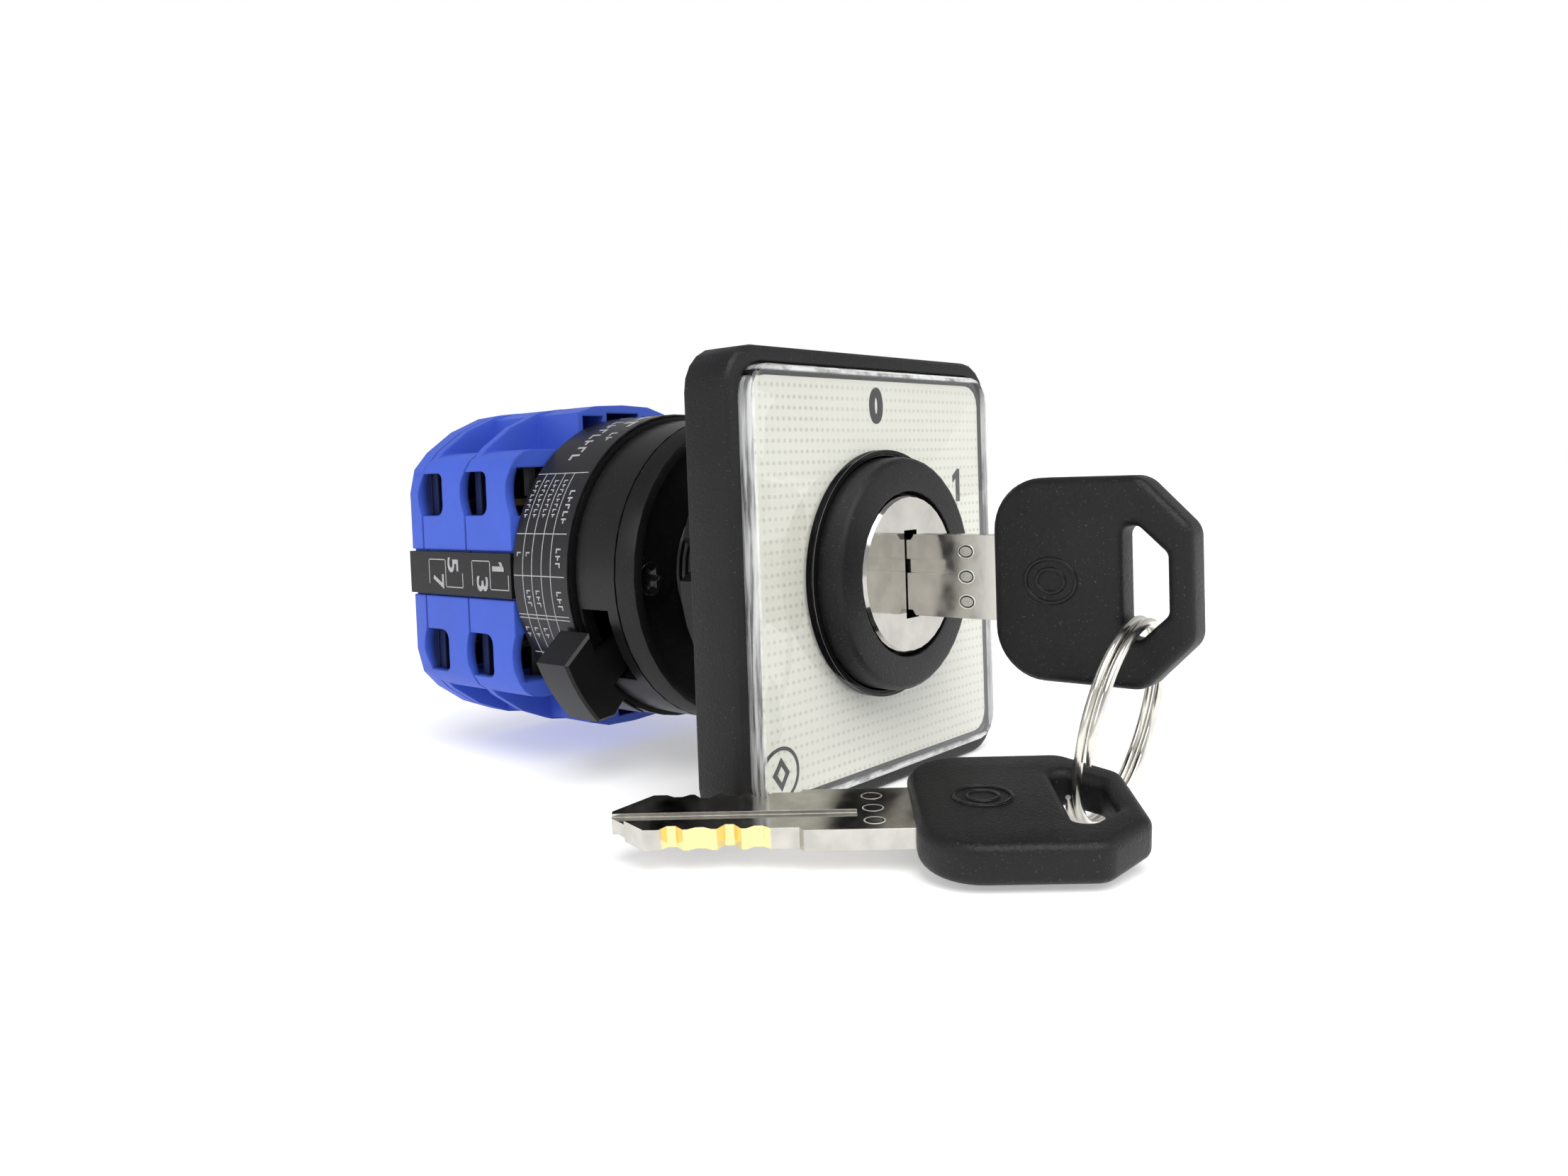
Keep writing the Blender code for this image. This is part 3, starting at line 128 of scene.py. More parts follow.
# --- Rating label ----------------------------------------------------------------------------
LABEL_RADIUS = 19.27
LABEL_FRONT = 24.65
LABEL_BACK = 34.4
LABEL_LINES = (27.5, 29.2, 31.0, 32.7)
LABEL_SEPARATORS = (140.5, 164.4, 179.4, 193.6, 194.9)
LABEL_LINES_END = 211
LABEL_TICK = (208.8, 209.2, 31.2, 34.0)
LABEL_MARGIN = 0.4
LABEL_HALF_LINE = 0.060
LABEL_SINK = 0.02
LABEL_RISE = 0.015
LABEL_ROWS = tuple((a + b) / 2 for a, b in zip(LABEL_LINES, LABEL_LINES[1:] + (LABEL_BACK,)))
HEADING_ROW = 26.2
STROKE_LEVELS = (0.38, 0.0, -0.38)
STROKE_STEM = 0.32
STROKE_HALF_LINE = 0.12
# Each row of strokes: first angle, strokes, place along Y, height, pitch and length as angles.
LABEL_WORDS = (
    (148.0, 5, HEADING_ROW, 0.85, 2.7, 1.9),
    *((143.5, 8, row, 0.62, 1.95, 1.25) for row in LABEL_ROWS),
    (169.5, 3, HEADING_ROW, 0.85, 2.5, 1.7),
    *((171.0, 1, row, 0.7, 2.0, 1.5) for row in LABEL_ROWS[2:]),
    (184.5, 3, HEADING_ROW, 0.85, 2.5, 1.7),
    *((184.5, 3, row, 0.7, 2.2, 1.5) for row in LABEL_ROWS[1:3]),
    *((198.5, 2, row, 0.7, 2.4, 1.5) for row in LABEL_ROWS[1:]),
    (106.0, 7, 29.7, 1.5, 4.2, 2.9),
    (118.0, 2, 26.6, 1.1, 3.2, 2.2),
    (93.0, 3, 26.9, 2.3, 7.2, 5.6),
    (70.0, 9, 32.4, 1.0, 3.3, 2.3),
)

# --- Number strips; places along Y count from each stage's front -----------------------------
STAGE_FRONTS = (35.05, 44.55)
STRIP_FACE = 19.25
STRIP_LIFT = 0.01
STRIP_BOLD = 0.015
STRIP_DIGIT_WIDTH = 1.9
STRIP_DIGIT_HEIGHT = 2.3
STRIP_DIGITS_AT = ((2.55, 1.1), (5.85, -1.1))
STRIP_LINE = 0.13
BRACKET_START = 0.5
BRACKET_STEP = 4.2
BRACKET_END = 7.9
BRACKET_HALF_HEIGHT = 1.75
BRACKET_START_TOP = 0.1
BRACKET_END_FOOT = -1.35

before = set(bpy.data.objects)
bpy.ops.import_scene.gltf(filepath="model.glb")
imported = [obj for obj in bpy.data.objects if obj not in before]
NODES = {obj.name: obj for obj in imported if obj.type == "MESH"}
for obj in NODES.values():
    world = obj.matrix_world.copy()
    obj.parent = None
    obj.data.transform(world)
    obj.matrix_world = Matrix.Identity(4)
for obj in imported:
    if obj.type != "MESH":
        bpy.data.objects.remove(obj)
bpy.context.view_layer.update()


# === Node helpers ============================================================================
class Look:
    """A material under construction: thin wrappers round its node tree."""

    def __init__(self, name, colour, roughness, metallic=0.0):
        self.material = bpy.data.materials.new(name)
        self.material.use_nodes = True
        self.tree = self.material.node_tree
        self.shader = self.tree.nodes["Principled BSDF"]
        self.set("Base Color", (*colour, 1.0))
        self.set("Roughness", roughness)
        self.set("Metallic", metallic)
        coordinates = self.tree.nodes.new("ShaderNodeTexCoord")
        self.place = coordinates.outputs["Object"]
        self.object_normal = coordinates.outputs["Normal"]
        self.normal = None

    def set(self, socket, value):
        self.shader.inputs[socket].default_value = value

    def link(self, source, target):
        self.tree.links.new(source, target)

    def node(self, kind, values=(), **settings):
        made = self.tree.nodes.new(kind)
        for key, value in settings.items():
            setattr(made, key, value)
        for key, value in values:
            if isinstance(value, bpy.types.NodeSocket):
                self.link(value, made.inputs[key])
            else:
                made.inputs[key].default_value = value
        return made

    def noise(self, size_mm, detail, stretch=None):
        where = self.place
        if stretch:
            where = self.node("ShaderNodeMapping", [("Vector", where), ("Scale", stretch)]).outputs[0]
        return self.node("ShaderNodeTexNoise", [("Vector", where), ("Scale", 1 / (size_mm * MM)),
                                                ("Detail", detail)]).outputs["Fac"]

    def ramp(self, value, low, high, out_low=0.0, out_high=1.0):
        return self.node("ShaderNodeMapRange", [("Value", value), ("From Min", low), ("From Max", high),
                                                ("To Min", out_low), ("To Max", out_high)]).outputs["Result"]

    def math(self, operation, a, b=0.0):
        return self.node("ShaderNodeMath", [(0, a), (1, b)], operation=operation).outputs[0]

    def mix(self, factor, first, second):
        return self.node("ShaderNodeMix", [("Factor", factor), (6, first), (7, second)],
                         data_type="RGBA").outputs[2]

    def colour(self, source):
        self.link(source, self.shader.inputs["Base Color"])

    def roughness(self, source):
        self.link(source, self.shader.inputs["Roughness"])

    def soften_edges(self, radius_mm):
        bevel = self.node("ShaderNodeBevel", [("Radius", radius_mm * MM)], samples=4)
        self.normal = bevel.outputs["Normal"]
        self.link(self.normal, self.shader.inputs["Normal"])

    def bump(self, height, depth_mm, strength=1.0):
        values = [("Height", height), ("Strength", strength), ("Distance", depth_mm * MM)]
        if self.normal:
            values.append(("Normal", self.normal))
        self.normal = self.node("ShaderNodeBump", values).outputs["Normal"]
        self.link(self.normal, self.shader.inputs["Normal"])


def rgba(colour, scale=1.0):
    return (*(c * scale for c in colour), 1.0)


def entry_shade(look):
    """1 inside the stages' wire entries and 0 on their outer faces, for the shade of deep hollows."""
    axes = look.node("ShaderNodeSeparateXYZ", [(0, look.place)]).outputs
    width, height = look.math("ABSOLUTE", axes["X"]), look.math("ABSOLUTE", axes["Z"])
    inside = look.ramp(width, ENTRY_SIDE[0] * MM, ENTRY_SIDE[1] * MM, 1.0, 0.0)
    above = look.ramp(height, ENTRY_LOW[0] * MM, ENTRY_LOW[1] * MM)
    below = look.ramp(height, ENTRY_HIGH[0] * MM, ENTRY_HIGH[1] * MM, 1.0, 0.0)
    ahead = look.ramp(axes["Y"], ENTRY_BACK[0] * MM, ENTRY_BACK[1] * MM, 1.0, 0.0)
    return look.math("MULTIPLY", look.math("MULTIPLY", inside, ahead), look.math("MULTIPLY", above, below))


def moulded_plastic(name, colour, roughness, grain_mm, depth_mm, glints=0.0, edge_mm=0.18, variation=0.18,
                    shade=None):
    """Moulded plastic: spark-eroded grain, soft edges, cloudy tone and gloss, and small pale dots that are
    painted glints.
    """
    look = Look(name, colour, roughness)
    look.set("Specular IOR Level", 0.27)
    if edge_mm:
        look.soften_edges(edge_mm)
    cloud = look.noise(9.0, 4.0)
    tone = look.mix(look.ramp(cloud, 0.3, 0.7), rgba(colour, 1 - variation), rgba(colour, 1 + variation))
    # painted glints: small pale grey dots mixed into the colour
    if glints:
        dots = look.ramp(look.noise(0.22, 1.0), 0.70, 0.76)
        tone = look.mix(look.math("MULTIPLY", dots, glints), tone, (0.30, 0.30, 0.31, 1.0))
    if shade:
        tone = look.mix(shade(look), tone, rgba(colour, 0.05))
    look.colour(tone)
    fine = look.noise(grain_mm, 2.0)
    spread = look.math("ADD", look.math("MULTIPLY", fine, 0.5), look.math("MULTIPLY", cloud, 0.5))
    look.roughness(look.ramp(spread, 0.3, 0.7, roughness - 0.08, roughness + 0.08))
    look.bump(fine, depth_mm)
    return look.material


def plated_metal(name, colour, roughness, line_mm, edge_mm=0.08):
    """Plated or polished metal: faint polishing lines, cloudy gloss and small pits."""
    look = Look(name, colour, roughness, metallic=1.0)
    if edge_mm:
        look.soften_edges(edge_mm)
    cloud = look.noise(3.0, 5.0)
    look.colour(look.mix(look.ramp(cloud, 0.35, 0.7), rgba(colour, 0.84), rgba(colour, 1.06)))
    look.roughness(look.ramp(cloud, 0.3, 0.75, roughness * 0.6, roughness * 1.6))
    look.bump(look.noise(line_mm, 3.0), 0.004, 0.6)
    return look.material


def key_metal(name, origin, along, across):
    """Nickel plate, with bare brass on the edges where the bitting was cut."""
    nickel, brass = (0.62, 0.60, 0.555), (0.92, 0.76, 0.38)
    look = Look(name, nickel, 0.16, metallic=1.0)
    look.soften_edges(0.07)
    cloud = look.noise(2.6, 5.0)
    plated = look.mix(look.ramp(cloud, 0.35, 0.7), rgba(nickel, 0.82), rgba(nickel, 1.06))
    offset = look.node("ShaderNodeVectorMath", [(0, look.place), (1, tuple(origin))], operation="SUBTRACT")
    reach = look.node("ShaderNodeVectorMath", [(0, offset.outputs[0]), (1, tuple(along))],
                      operation="DOT_PRODUCT").outputs["Value"]
    facing = look.node("ShaderNodeVectorMath", [(0, look.object_normal), (1, tuple(across))],
                       operation="DOT_PRODUCT").outputs["Value"]
    height = look.node("ShaderNodeVectorMath", [(0, offset.outputs[0]), (1, tuple(across))],
                       operation="DOT_PRODUCT").outputs["Value"]
    edge = look.ramp(look.math("ABSOLUTE", facing), 0.45, 0.6)
    outer = look.ramp(look.math("ABSOLUTE", height), BRASS_HEIGHT * MM, (BRASS_HEIGHT + 0.2) * MM)
    start = look.ramp(reach, BRASS_START * MM, (BRASS_START + 0.3) * MM)
    end = look.ramp(reach, BRASS_END * MM, (BRASS_END + 0.3) * MM, 1.0, 0.0)
    cut_edge = look.math("MULTIPLY", look.math("MULTIPLY", edge, outer), look.math("MULTIPLY", start, end))
    look.colour(look.mix(cut_edge, plated, rgba(brass)))
    look.roughness(look.ramp(cloud, 0.3, 0.75, 0.10, 0.26))
    look.bump(look.noise(0.5, 3.0), 0.004, 0.6)
    return look.material


def legend_film():
    """Ivory-grey film with a fine woven relief of dotted rows."""
    light, dark = (0.700, 0.690, 0.610), (0.440, 0.435, 0.370)
    look = Look("legend_film", light, 0.42)
    axes = look.node("ShaderNodeSeparateXYZ", [(0, look.place)]).outputs
    turn = tau / (WEAVE_PITCH * MM)
    rows = look.math("SINE", look.math("MULTIPLY", axes["Z"], turn))
    dots = look.math("SINE", look.math("MULTIPLY", axes["X"], turn * WEAVE_DOTS))
    row = look.ramp(rows, 0.1, 0.9)
    weave = look.math("ADD", look.math("MULTIPLY", row, 0.20),
                      look.math("MULTIPLY", row, look.ramp(dots, 0.0, 0.8, 0.0, 0.80)))
    shade = look.ramp(weave, 0.1, 0.95)
    cloud = look.ramp(look.noise(14.0, 3.0), 0.3, 0.7, 0.45, 0.95)
    look.colour(look.mix(look.math("MULTIPLY", shade, cloud), rgba(light), rgba(dark)))
    look.roughness(look.ramp(weave, 0.0, 1.0, 0.36, 0.50))
    look.bump(weave, 0.03, 0.7)
    return look.material


def clear_acrylic():
    """Clear sheet, painted milky and streaked near its edges as a painted highlight of the light caught in
    them, and painted black round its hole as painted shade and reflection.
    """
    look = Look("clear_acrylic", (0.97, 0.98, 0.98), 0.03)
    look.set("Transmission Weight", 1.0)
    look.set("IOR", 1.49)
    look.set("Specular IOR Level", 0.2)
    look.soften_edges(0.15)
    haze = look.noise(6.0, 5.0)
    look.roughness(look.ramp(haze, 0.45, 0.8, 0.012, 0.06))
    axes = look.node("ShaderNodeSeparateXYZ", [(0, look.place)]).outputs
    reach = look.math("MAXIMUM", look.math("ABSOLUTE", axes["X"]), look.math("ABSOLUTE", axes["Z"]))
    # painted highlight: near its edges the sheet turns milky white with streaks and passes less light, as if
    # lit from within
    edge_glow = look.ramp(reach, RIM_START * MM, (RIM_START + 0.2) * MM)
    edge_glow_streaks = look.ramp(look.noise(2.2, 4.0, (1.0, 6.0, 0.35)), 0.38, 0.62, 0.25, 1.0)
    flat = look.node("ShaderNodeVectorMath", [(0, look.place), (1, (1.0, 0.0, 1.0))], operation="MULTIPLY")
    spread = look.node("ShaderNodeVectorMath", [(0, flat.outputs[0])], operation="LENGTH").outputs["Value"]
    # painted shade and reflection: round its hole the sheet turns black and passes no light
    rim = look.ramp(spread, HOLE_RIM_END * MM, (HOLE_RIM_END + 0.06) * MM, 1.0, 0.0)
    edge_glow_colour = look.mix(edge_glow, (0.97, 0.98, 0.98, 1.0), (0.90, 0.91, 0.90, 1.0))
    look.colour(look.mix(rim, edge_glow_colour, (0.006, 0.006, 0.006, 1.0)))
    solid = look.math("MAXIMUM", look.math("MULTIPLY", look.math("MULTIPLY", edge_glow, edge_glow_streaks), 0.62), rim)
    look.link(look.math("SUBTRACT", 1.0, solid), look.shader.inputs["Transmission Weight"])
    return look.material


def threaded_metal():
    """Black metal whose thread, a zigzag along Y, is in its bump and its colour only: painted light on its
    crests and painted shade in its roots.
    """
    look = Look("threaded_black_oxide", (0.03, 0.03, 0.03), 0.36, metallic=0.6)
    height = look.node("ShaderNodeSeparateXYZ", [(0, look.place)]).outputs["Y"]
    thread = look.math("PINGPONG", height, THREAD_FLANK * MM)
    # painted light and shade: the thread's crests are lighter and its roots darker
    crest_light = look.ramp(thread, 0, THREAD_FLANK * MM)
    look.colour(look.mix(crest_light, (0.012, 0.012, 0.012, 1), (0.035, 0.035, 0.036, 1)))
    look.roughness(look.ramp(look.noise(1.5, 4.0), 0.3, 0.7, 0.22, 0.42))
    look.bump(look.math("MULTIPLY", thread, 1 / (THREAD_FLANK * MM)), 0.4)
    return look.material


def ink(name, colour, roughness=0.45):
    """Printed ink, slightly worn and uneven in gloss."""
    look = Look(name, colour, roughness)
    look.set("Specular IOR Level", 0.15)
    wear = look.ramp(look.noise(0.6, 4.0), 0.35, 0.75)
    look.colour(look.mix(wear, rgba(colour, 0.82), rgba(colour, 1.05)))
    look.roughness(look.ramp(look.noise(0.35, 2.0), 0.3, 0.7, roughness - 0.08, roughness + 0.1))
    return look.material


def label_film():
    """Dark printed film with a faint cloud and grain."""
    look = Look("label_film", (0.030, 0.030, 0.033), 0.34)
    look.set("Specular IOR Level", 0.28)
    cloud = look.noise(5.0, 5.0)
    look.colour(look.mix(look.ramp(cloud, 0.3, 0.7), (0.010, 0.010, 0.011, 1), (0.018, 0.018, 0.020, 1)))
    look.roughness(look.ramp(cloud, 0.3, 0.75, 0.28, 0.44))
    look.bump(look.noise(0.12, 2.0), 0.003, 0.5)
    return look.material


# === Mesh helpers ============================================================================
def new_piece(name, bm, material, body, smooth_angle=35):
    """A bmesh drawn in millimetres becomes a piece in metres that rides on a body."""
    mesh = bpy.data.meshes.new(name)
    bm.to_mesh(mesh)
    bm.free()
    mesh.transform(Matrix.Scale(MM, 4))
    mesh.materials.append(material)
    mesh.shade_smooth()
    mesh.set_sharp_from_angle(angle=radians(smooth_angle))
    obj = bpy.data.objects.new(name, mesh)
    bpy.context.scene.collection.objects.link(obj)
    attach(obj, body)
    return obj


def axes_matrix(centre, right, up):
    """Moves the XY plane to a plane through centre, with X along right and Y along up."""
    right, up = Vector(right).normalized(), Vector(up).normalized()
    matrix = Matrix((right, up, right.cross(up))).transposed().to_4x4()
    matrix.translation = Vector(centre)
    return matrix


def curve_solid(outlines, half_depth, edge_round, matrix, resolution=3):
    """A filled flat outline, holes included, with rounded edges, as a bmesh."""
    curve = bpy.data.curves.new("outline", "CURVE")
    curve.dimensions = "2D"
    curve.fill_mode = "BOTH"
    for outline in outlines:
        spline = curve.splines.new("POLY")
        spline.points.add(len(outline) - 1)
        for point, (x, y) in zip(spline.points, outline):
            point.co = (x, y, 0, 1)
        spline.use_cyclic_u = True
    curve.extrude = half_depth - edge_round
    curve.bevel_depth = edge_round
    curve.bevel_resolution = resolution
    curve.offset = -edge_round
    return curve_to_bmesh(curve, matrix)


def curve_to_bmesh(curve, matrix):
    """The filled or extruded shape of a curve as a bmesh; the curve itself is deleted."""
    holder = bpy.data.objects.new("holder", curve)
    bpy.context.scene.collection.objects.link(holder)
    depsgraph = bpy.context.evaluated_depsgraph_get()
    mesh = bpy.data.meshes.new_from_object(holder.evaluated_get(depsgraph))
    bpy.data.objects.remove(holder)
    bpy.data.curves.remove(curve)
    bm = bmesh.new()
    bm.from_mesh(mesh)
    bpy.data.meshes.remove(mesh)
    bmesh.ops.remove_doubles(bm, verts=bm.verts, dist=1e-4)
    bm.transform(matrix)
    return bm


def text_solid(text, width, height, matrix, bold):
    """A digit as deep as the ink, fitted to a width and height about the origin of the XY plane."""
    if text == "1":
        bm = curve_solid([ONE_OUTLINE], 0.5, 0.0, Matrix.Identity(4))
    else:
        curve = bpy.data.curves.new("digits", "FONT")
        curve.body = text
        curve.extrude = 0.5
        curve.offset = bold
        bm = curve_to_bmesh(curve, Matrix.Identity(4))
    xs = [v.co.x for v in bm.verts]
    ys = [v.co.y for v in bm.verts]
    fit = Matrix.Diagonal((width / (max(xs) - min(xs)), height / (max(ys) - min(ys)), INK_DEPTH, 1))
    centre = Matrix.Translation((-(max(xs) + min(xs)) / 2, -(max(ys) + min(ys)) / 2, 0))
    bm.transform(matrix @ fit @ centre)
    return bm


def merge(parts):
    """Several bmeshes as one."""
    whole = bmesh.new()
    for part in parts:
        mesh = bpy.data.meshes.new("part")
        part.to_mesh(mesh)
        part.free()
        whole.from_mesh(mesh)
        bpy.data.meshes.remove(mesh)
    return whole


def skin(loops, closed_ring=False):
    """A closed surface through loops of points, with flat ends unless it closes on itself."""
    bm = bmesh.new()
    rings = [[bm.verts.new(point) for point in loop] for loop in loops]
    pairs = list(zip(rings, rings[1:]))
    if closed_ring:
        pairs.append((rings[-1], rings[0]))
    for low, high in pairs:
        for k in range(len(low)):
            bm.faces.new((low[k - 1], low[k], high[k], high[k - 1]))
    if not closed_ring:
        bm.faces.new(reversed(rings[0]))
        bm.faces.new(rings[-1])
    bmesh.ops.recalc_face_normals(bm, faces=bm.faces)
    return bm


def flat_bar(x, y, matrix):
    """A rectangle as deep as the ink, in the XY plane between (low, high) limits."""
    outline = [(x[0], y[0]), (x[1], y[0]), (x[1], y[1]), (x[0], y[1])]
    bm = skin([[Vector((a, b, level)) for a, b in outline] for level in (-INK_DEPTH / 2, INK_DEPTH / 2)])
    bm.transform(matrix)
    return bm


def ovals(half_x, half_y, insets, steps):
    """Nested ellipses about the origin, each smaller by its inset."""
    return [[((half_x - inset) * cos(tau * k / steps), (half_y - inset) * sin(tau * k / steps))
             for k in range(steps)] for inset in insets]


def rounded_polygon(corners, steps):
    """Polygon whose corners (x, y, radius) are replaced by arcs."""
    points = []
    for k, (x, y, radius) in enumerate(corners):
        here = Vector((x, y))
        before = (Vector(corners[k - 1][:2]) - here).normalized()
        after = (Vector(corners[(k + 1) % len(corners)][:2]) - here).normalized()
        half = before.angle(after) / 2
        centre = here + (before + after).normalized() * radius / sin(half)
        start = here + before * radius / tan(half) - centre
        sweep = (after * radius / tan(half) + here - centre).angle_signed(start)
        for step in range(steps + 1):
            spoke = start.copy()
            spoke.rotate(Matrix.Rotation(sweep * step / steps, 2))
            points.append(tuple(centre + spoke))
    return points


# === Materials on the part's own nodes =======================================================
BLACK_GRAIN = moulded_plastic("black_grained_plastic", (0.0080, 0.0080, 0.0088), 0.44, 0.26, 0.055,
                              glints=0.16, edge_mm=0.30, variation=0.30)
BLACK_SATIN = moulded_plastic("black_satin_plastic", (0.0065, 0.0065, 0.0068), 0.34, 0.16, 0.004,
                              glints=0.10, edge_mm=0)
BLUE = moulded_plastic("blue_moulded_plastic", (0.050, 0.108, 0.560), 0.50, 0.30, 0.010, edge_mm=0.35,
                       variation=0.07, shade=entry_shade)
NYLON = moulded_plastic("smoked_nylon", (0.060, 0.060, 0.064), 0.50, 0.25, 0.008)
LABEL = label_film()
LEGEND = legend_film()
CLEAR = clear_acrylic()
NICKEL = plated_metal("nickel_plate", (0.52, 0.505, 0.47), 0.09, 0.9, edge_mm=0)
RING_METAL = plated_metal("nickel_wire", (0.80, 0.78, 0.72), 0.16, 0.4)
STEEL = plated_metal("zinc_plated_steel", (0.52, 0.52, 0.52), 0.30, 0.3)
BLACK_STEEL = plated_metal("blackened_steel", (0.22, 0.22, 0.23), 0.22, 0.3)
INNER_STEEL = plated_metal("shaded_steel", (0.035, 0.035, 0.037), 0.45, 0.3)
BRASS = plated_metal("contact_brass", (0.30, 0.20, 0.08), 0.40, 0.4)
THREAD = threaded_metal()
# black print, and also the painted shadow inside the keys' struck zeros
BLACK_INK_AND_SHADOW = ink("black_ink_and_shadow", (0.003, 0.003, 0.003), 0.7)
BLACK_GLOSS = moulded_plastic("black_polished_plastic", (0.0060, 0.0060, 0.0064), 0.18, 0.30, 0.003,
                              edge_mm=0)
WHITE_INK = ink("white_ink", (0.42, 0.42, 0.43))
# pale metal for the painted highlights on the keys' struck zeros
STAMP_HIGHLIGHT_METAL = plated_metal("struck_nickel_highlight", (0.93, 0.92, 0.88), 0.34, 0.3)

NODE_LOOKS = {
    "bezel_frame": BLACK_GRAIN, "lock_collar": BLACK_GRAIN, "legend_plate": LEGEND, "clear_cover": CLEAR,
    "lock_barrel": THREAD, "lock_plug": NICKEL, "rating_label": LABEL, "detent_wheel": NYLON,
    "detent_clip": STEEL, "end_plate": BLUE, "front_screw_left": BLACK_STEEL,
    "front_screw_right": BLACK_STEEL,
}
PREFIX_LOOKS = (("stage_", BLUE), ("cam_", NYLON), ("wafer_", BRASS), ("contact_bridge_", BRASS),
                ("contact_spring_", INNER_STEEL), ("terminal_screw_", INNER_STEEL), ("terminal_", BRASS),
                ("tie_screw_", STEEL))


def smooth_by_angle(limit):
    """Geometry nodes that shade a faceted solid smooth, apart from edges sharper than the limit."""
    group = bpy.data.node_groups.new("smooth_by_angle", "GeometryNodeTree")
    group.interface.new_socket("Geometry", in_out="INPUT", socket_type="NodeSocketGeometry")
    group.interface.new_socket("Geometry", in_out="OUTPUT", socket_type="NodeSocketGeometry")
    add, link = group.nodes.new, group.links.new
    weld = add("GeometryNodeMergeByDistance")
    weld.inputs["Distance"].default_value = WELD_DISTANCE * MM
    angle = add("GeometryNodeInputMeshEdgeAngle")
    sharp = add("ShaderNodeMath")
    sharp.operation = "GREATER_THAN"
    sharp.inputs[1].default_value = radians(limit)
    faces, edges = add("GeometryNodeSetShadeSmooth"), add("GeometryNodeSetShadeSmooth")
    faces.domain, edges.domain = "FACE", "EDGE"
    faces.inputs["Shade Smooth"].default_value = True
    edges.inputs["Shade Smooth"].default_value = False
    link(add("NodeGroupInput").outputs[0], weld.inputs["Geometry"])
    link(weld.outputs[0], faces.inputs["Geometry"])
    link(faces.outputs[0], edges.inputs["Geometry"])
    link(angle.outputs[0], sharp.inputs[0])
    link(sharp.outputs[0], edges.inputs["Selection"])
    link(edges.outputs[0], add("NodeGroupOutput").inputs[0])
    return group


def loose_key_matrix():
    """The lying key's frame, in millimetres, as the part places it."""
    lay_down = Matrix(((0, 1, 0), (0, 0, 1), (1, 0, 0))).to_4x4()
    heading = Matrix.Rotation(radians(KEY_2_HEADING), 4, "Z")
    lean = Matrix.Rotation(radians(KEY_2_LEAN), 4, "X")
    return Matrix.Translation(Vector(KEY_2_PLACE)) @ heading @ lean @ lay_down


KEYS = {"key_1": Matrix.Translation((0, KEY_1_FRONT, 0)), "key_2": loose_key_matrix()}


def dress_nodes():
    """Gives every CAD node smooth shading and its material: by name, by prefix, or black satin."""
    for key, matrix in KEYS.items():
        turn = matrix.to_3x3()
        NODE_LOOKS[key + "_blade"] = key_metal(key + "_metal", matrix.translation * MM,
                                               turn @ Vector((0, 1, 0)), turn @ Vector((0, 0, 1)))
    smoothing = smooth_by_angle(SMOOTH_LIMIT)
    for name, node in NODES.items():
        node.modifiers.new("smooth", "NODES").node_group = smoothing
        found = [look for prefix, look in PREFIX_LOOKS if name.startswith(prefix)]
        look = NODE_LOOKS.get(name) or (found[0] if found else BLACK_SATIN)
        for slot in node.material_slots:
            slot.material = look
    NODES["clear_cover"].visible_shadow = False


# === Keys and ring ===========================================================================
def bow_outlines():
    """The bow's outline and its hole's, with the blade's side at x = 0."""
    half, far, bend = BOW_HALF_WIDTH, -BOW_LENGTH, -BOW_CHAMFER_START
    outer = rounded_polygon([
        (0, -half, 5.2), (0, half, 5.2), (bend, half, 2.6), (far, BOW_FAR_HALF, 2.2),
        (far, -BOW_FAR_HALF, 2.2), (bend, -half, 2.6)], 10)
    edge = HOLE_ROUND
    hole = rounded_polygon([
        (-HOLE_NEAR, -HOLE_HALF_NEAR, edge), (-HOLE_NEAR, HOLE_HALF_NEAR, edge),
        (-HOLE_BEND, HOLE_HALF_NEAR, edge), (-HOLE_FAR, HOLE_HALF_FAR, edge),
        (-HOLE_FAR, -HOLE_HALF_FAR, edge), (-HOLE_BEND, -HOLE_HALF_NEAR, edge)], 5)
    return [outer, hole]


def key_face(matrix, side, y, z=0.0, lift=0.0):
    """The plane on the key's -x or +x side (side -1 or 1): right is side times z, and up is -y."""
    centre = matrix @ Vector((side * lift, y, z))
    turn = matrix.to_3x3()
    return axes_matrix(centre, turn @ Vector((0, 0, side)), turn @ Vector((0, -1, 0)))


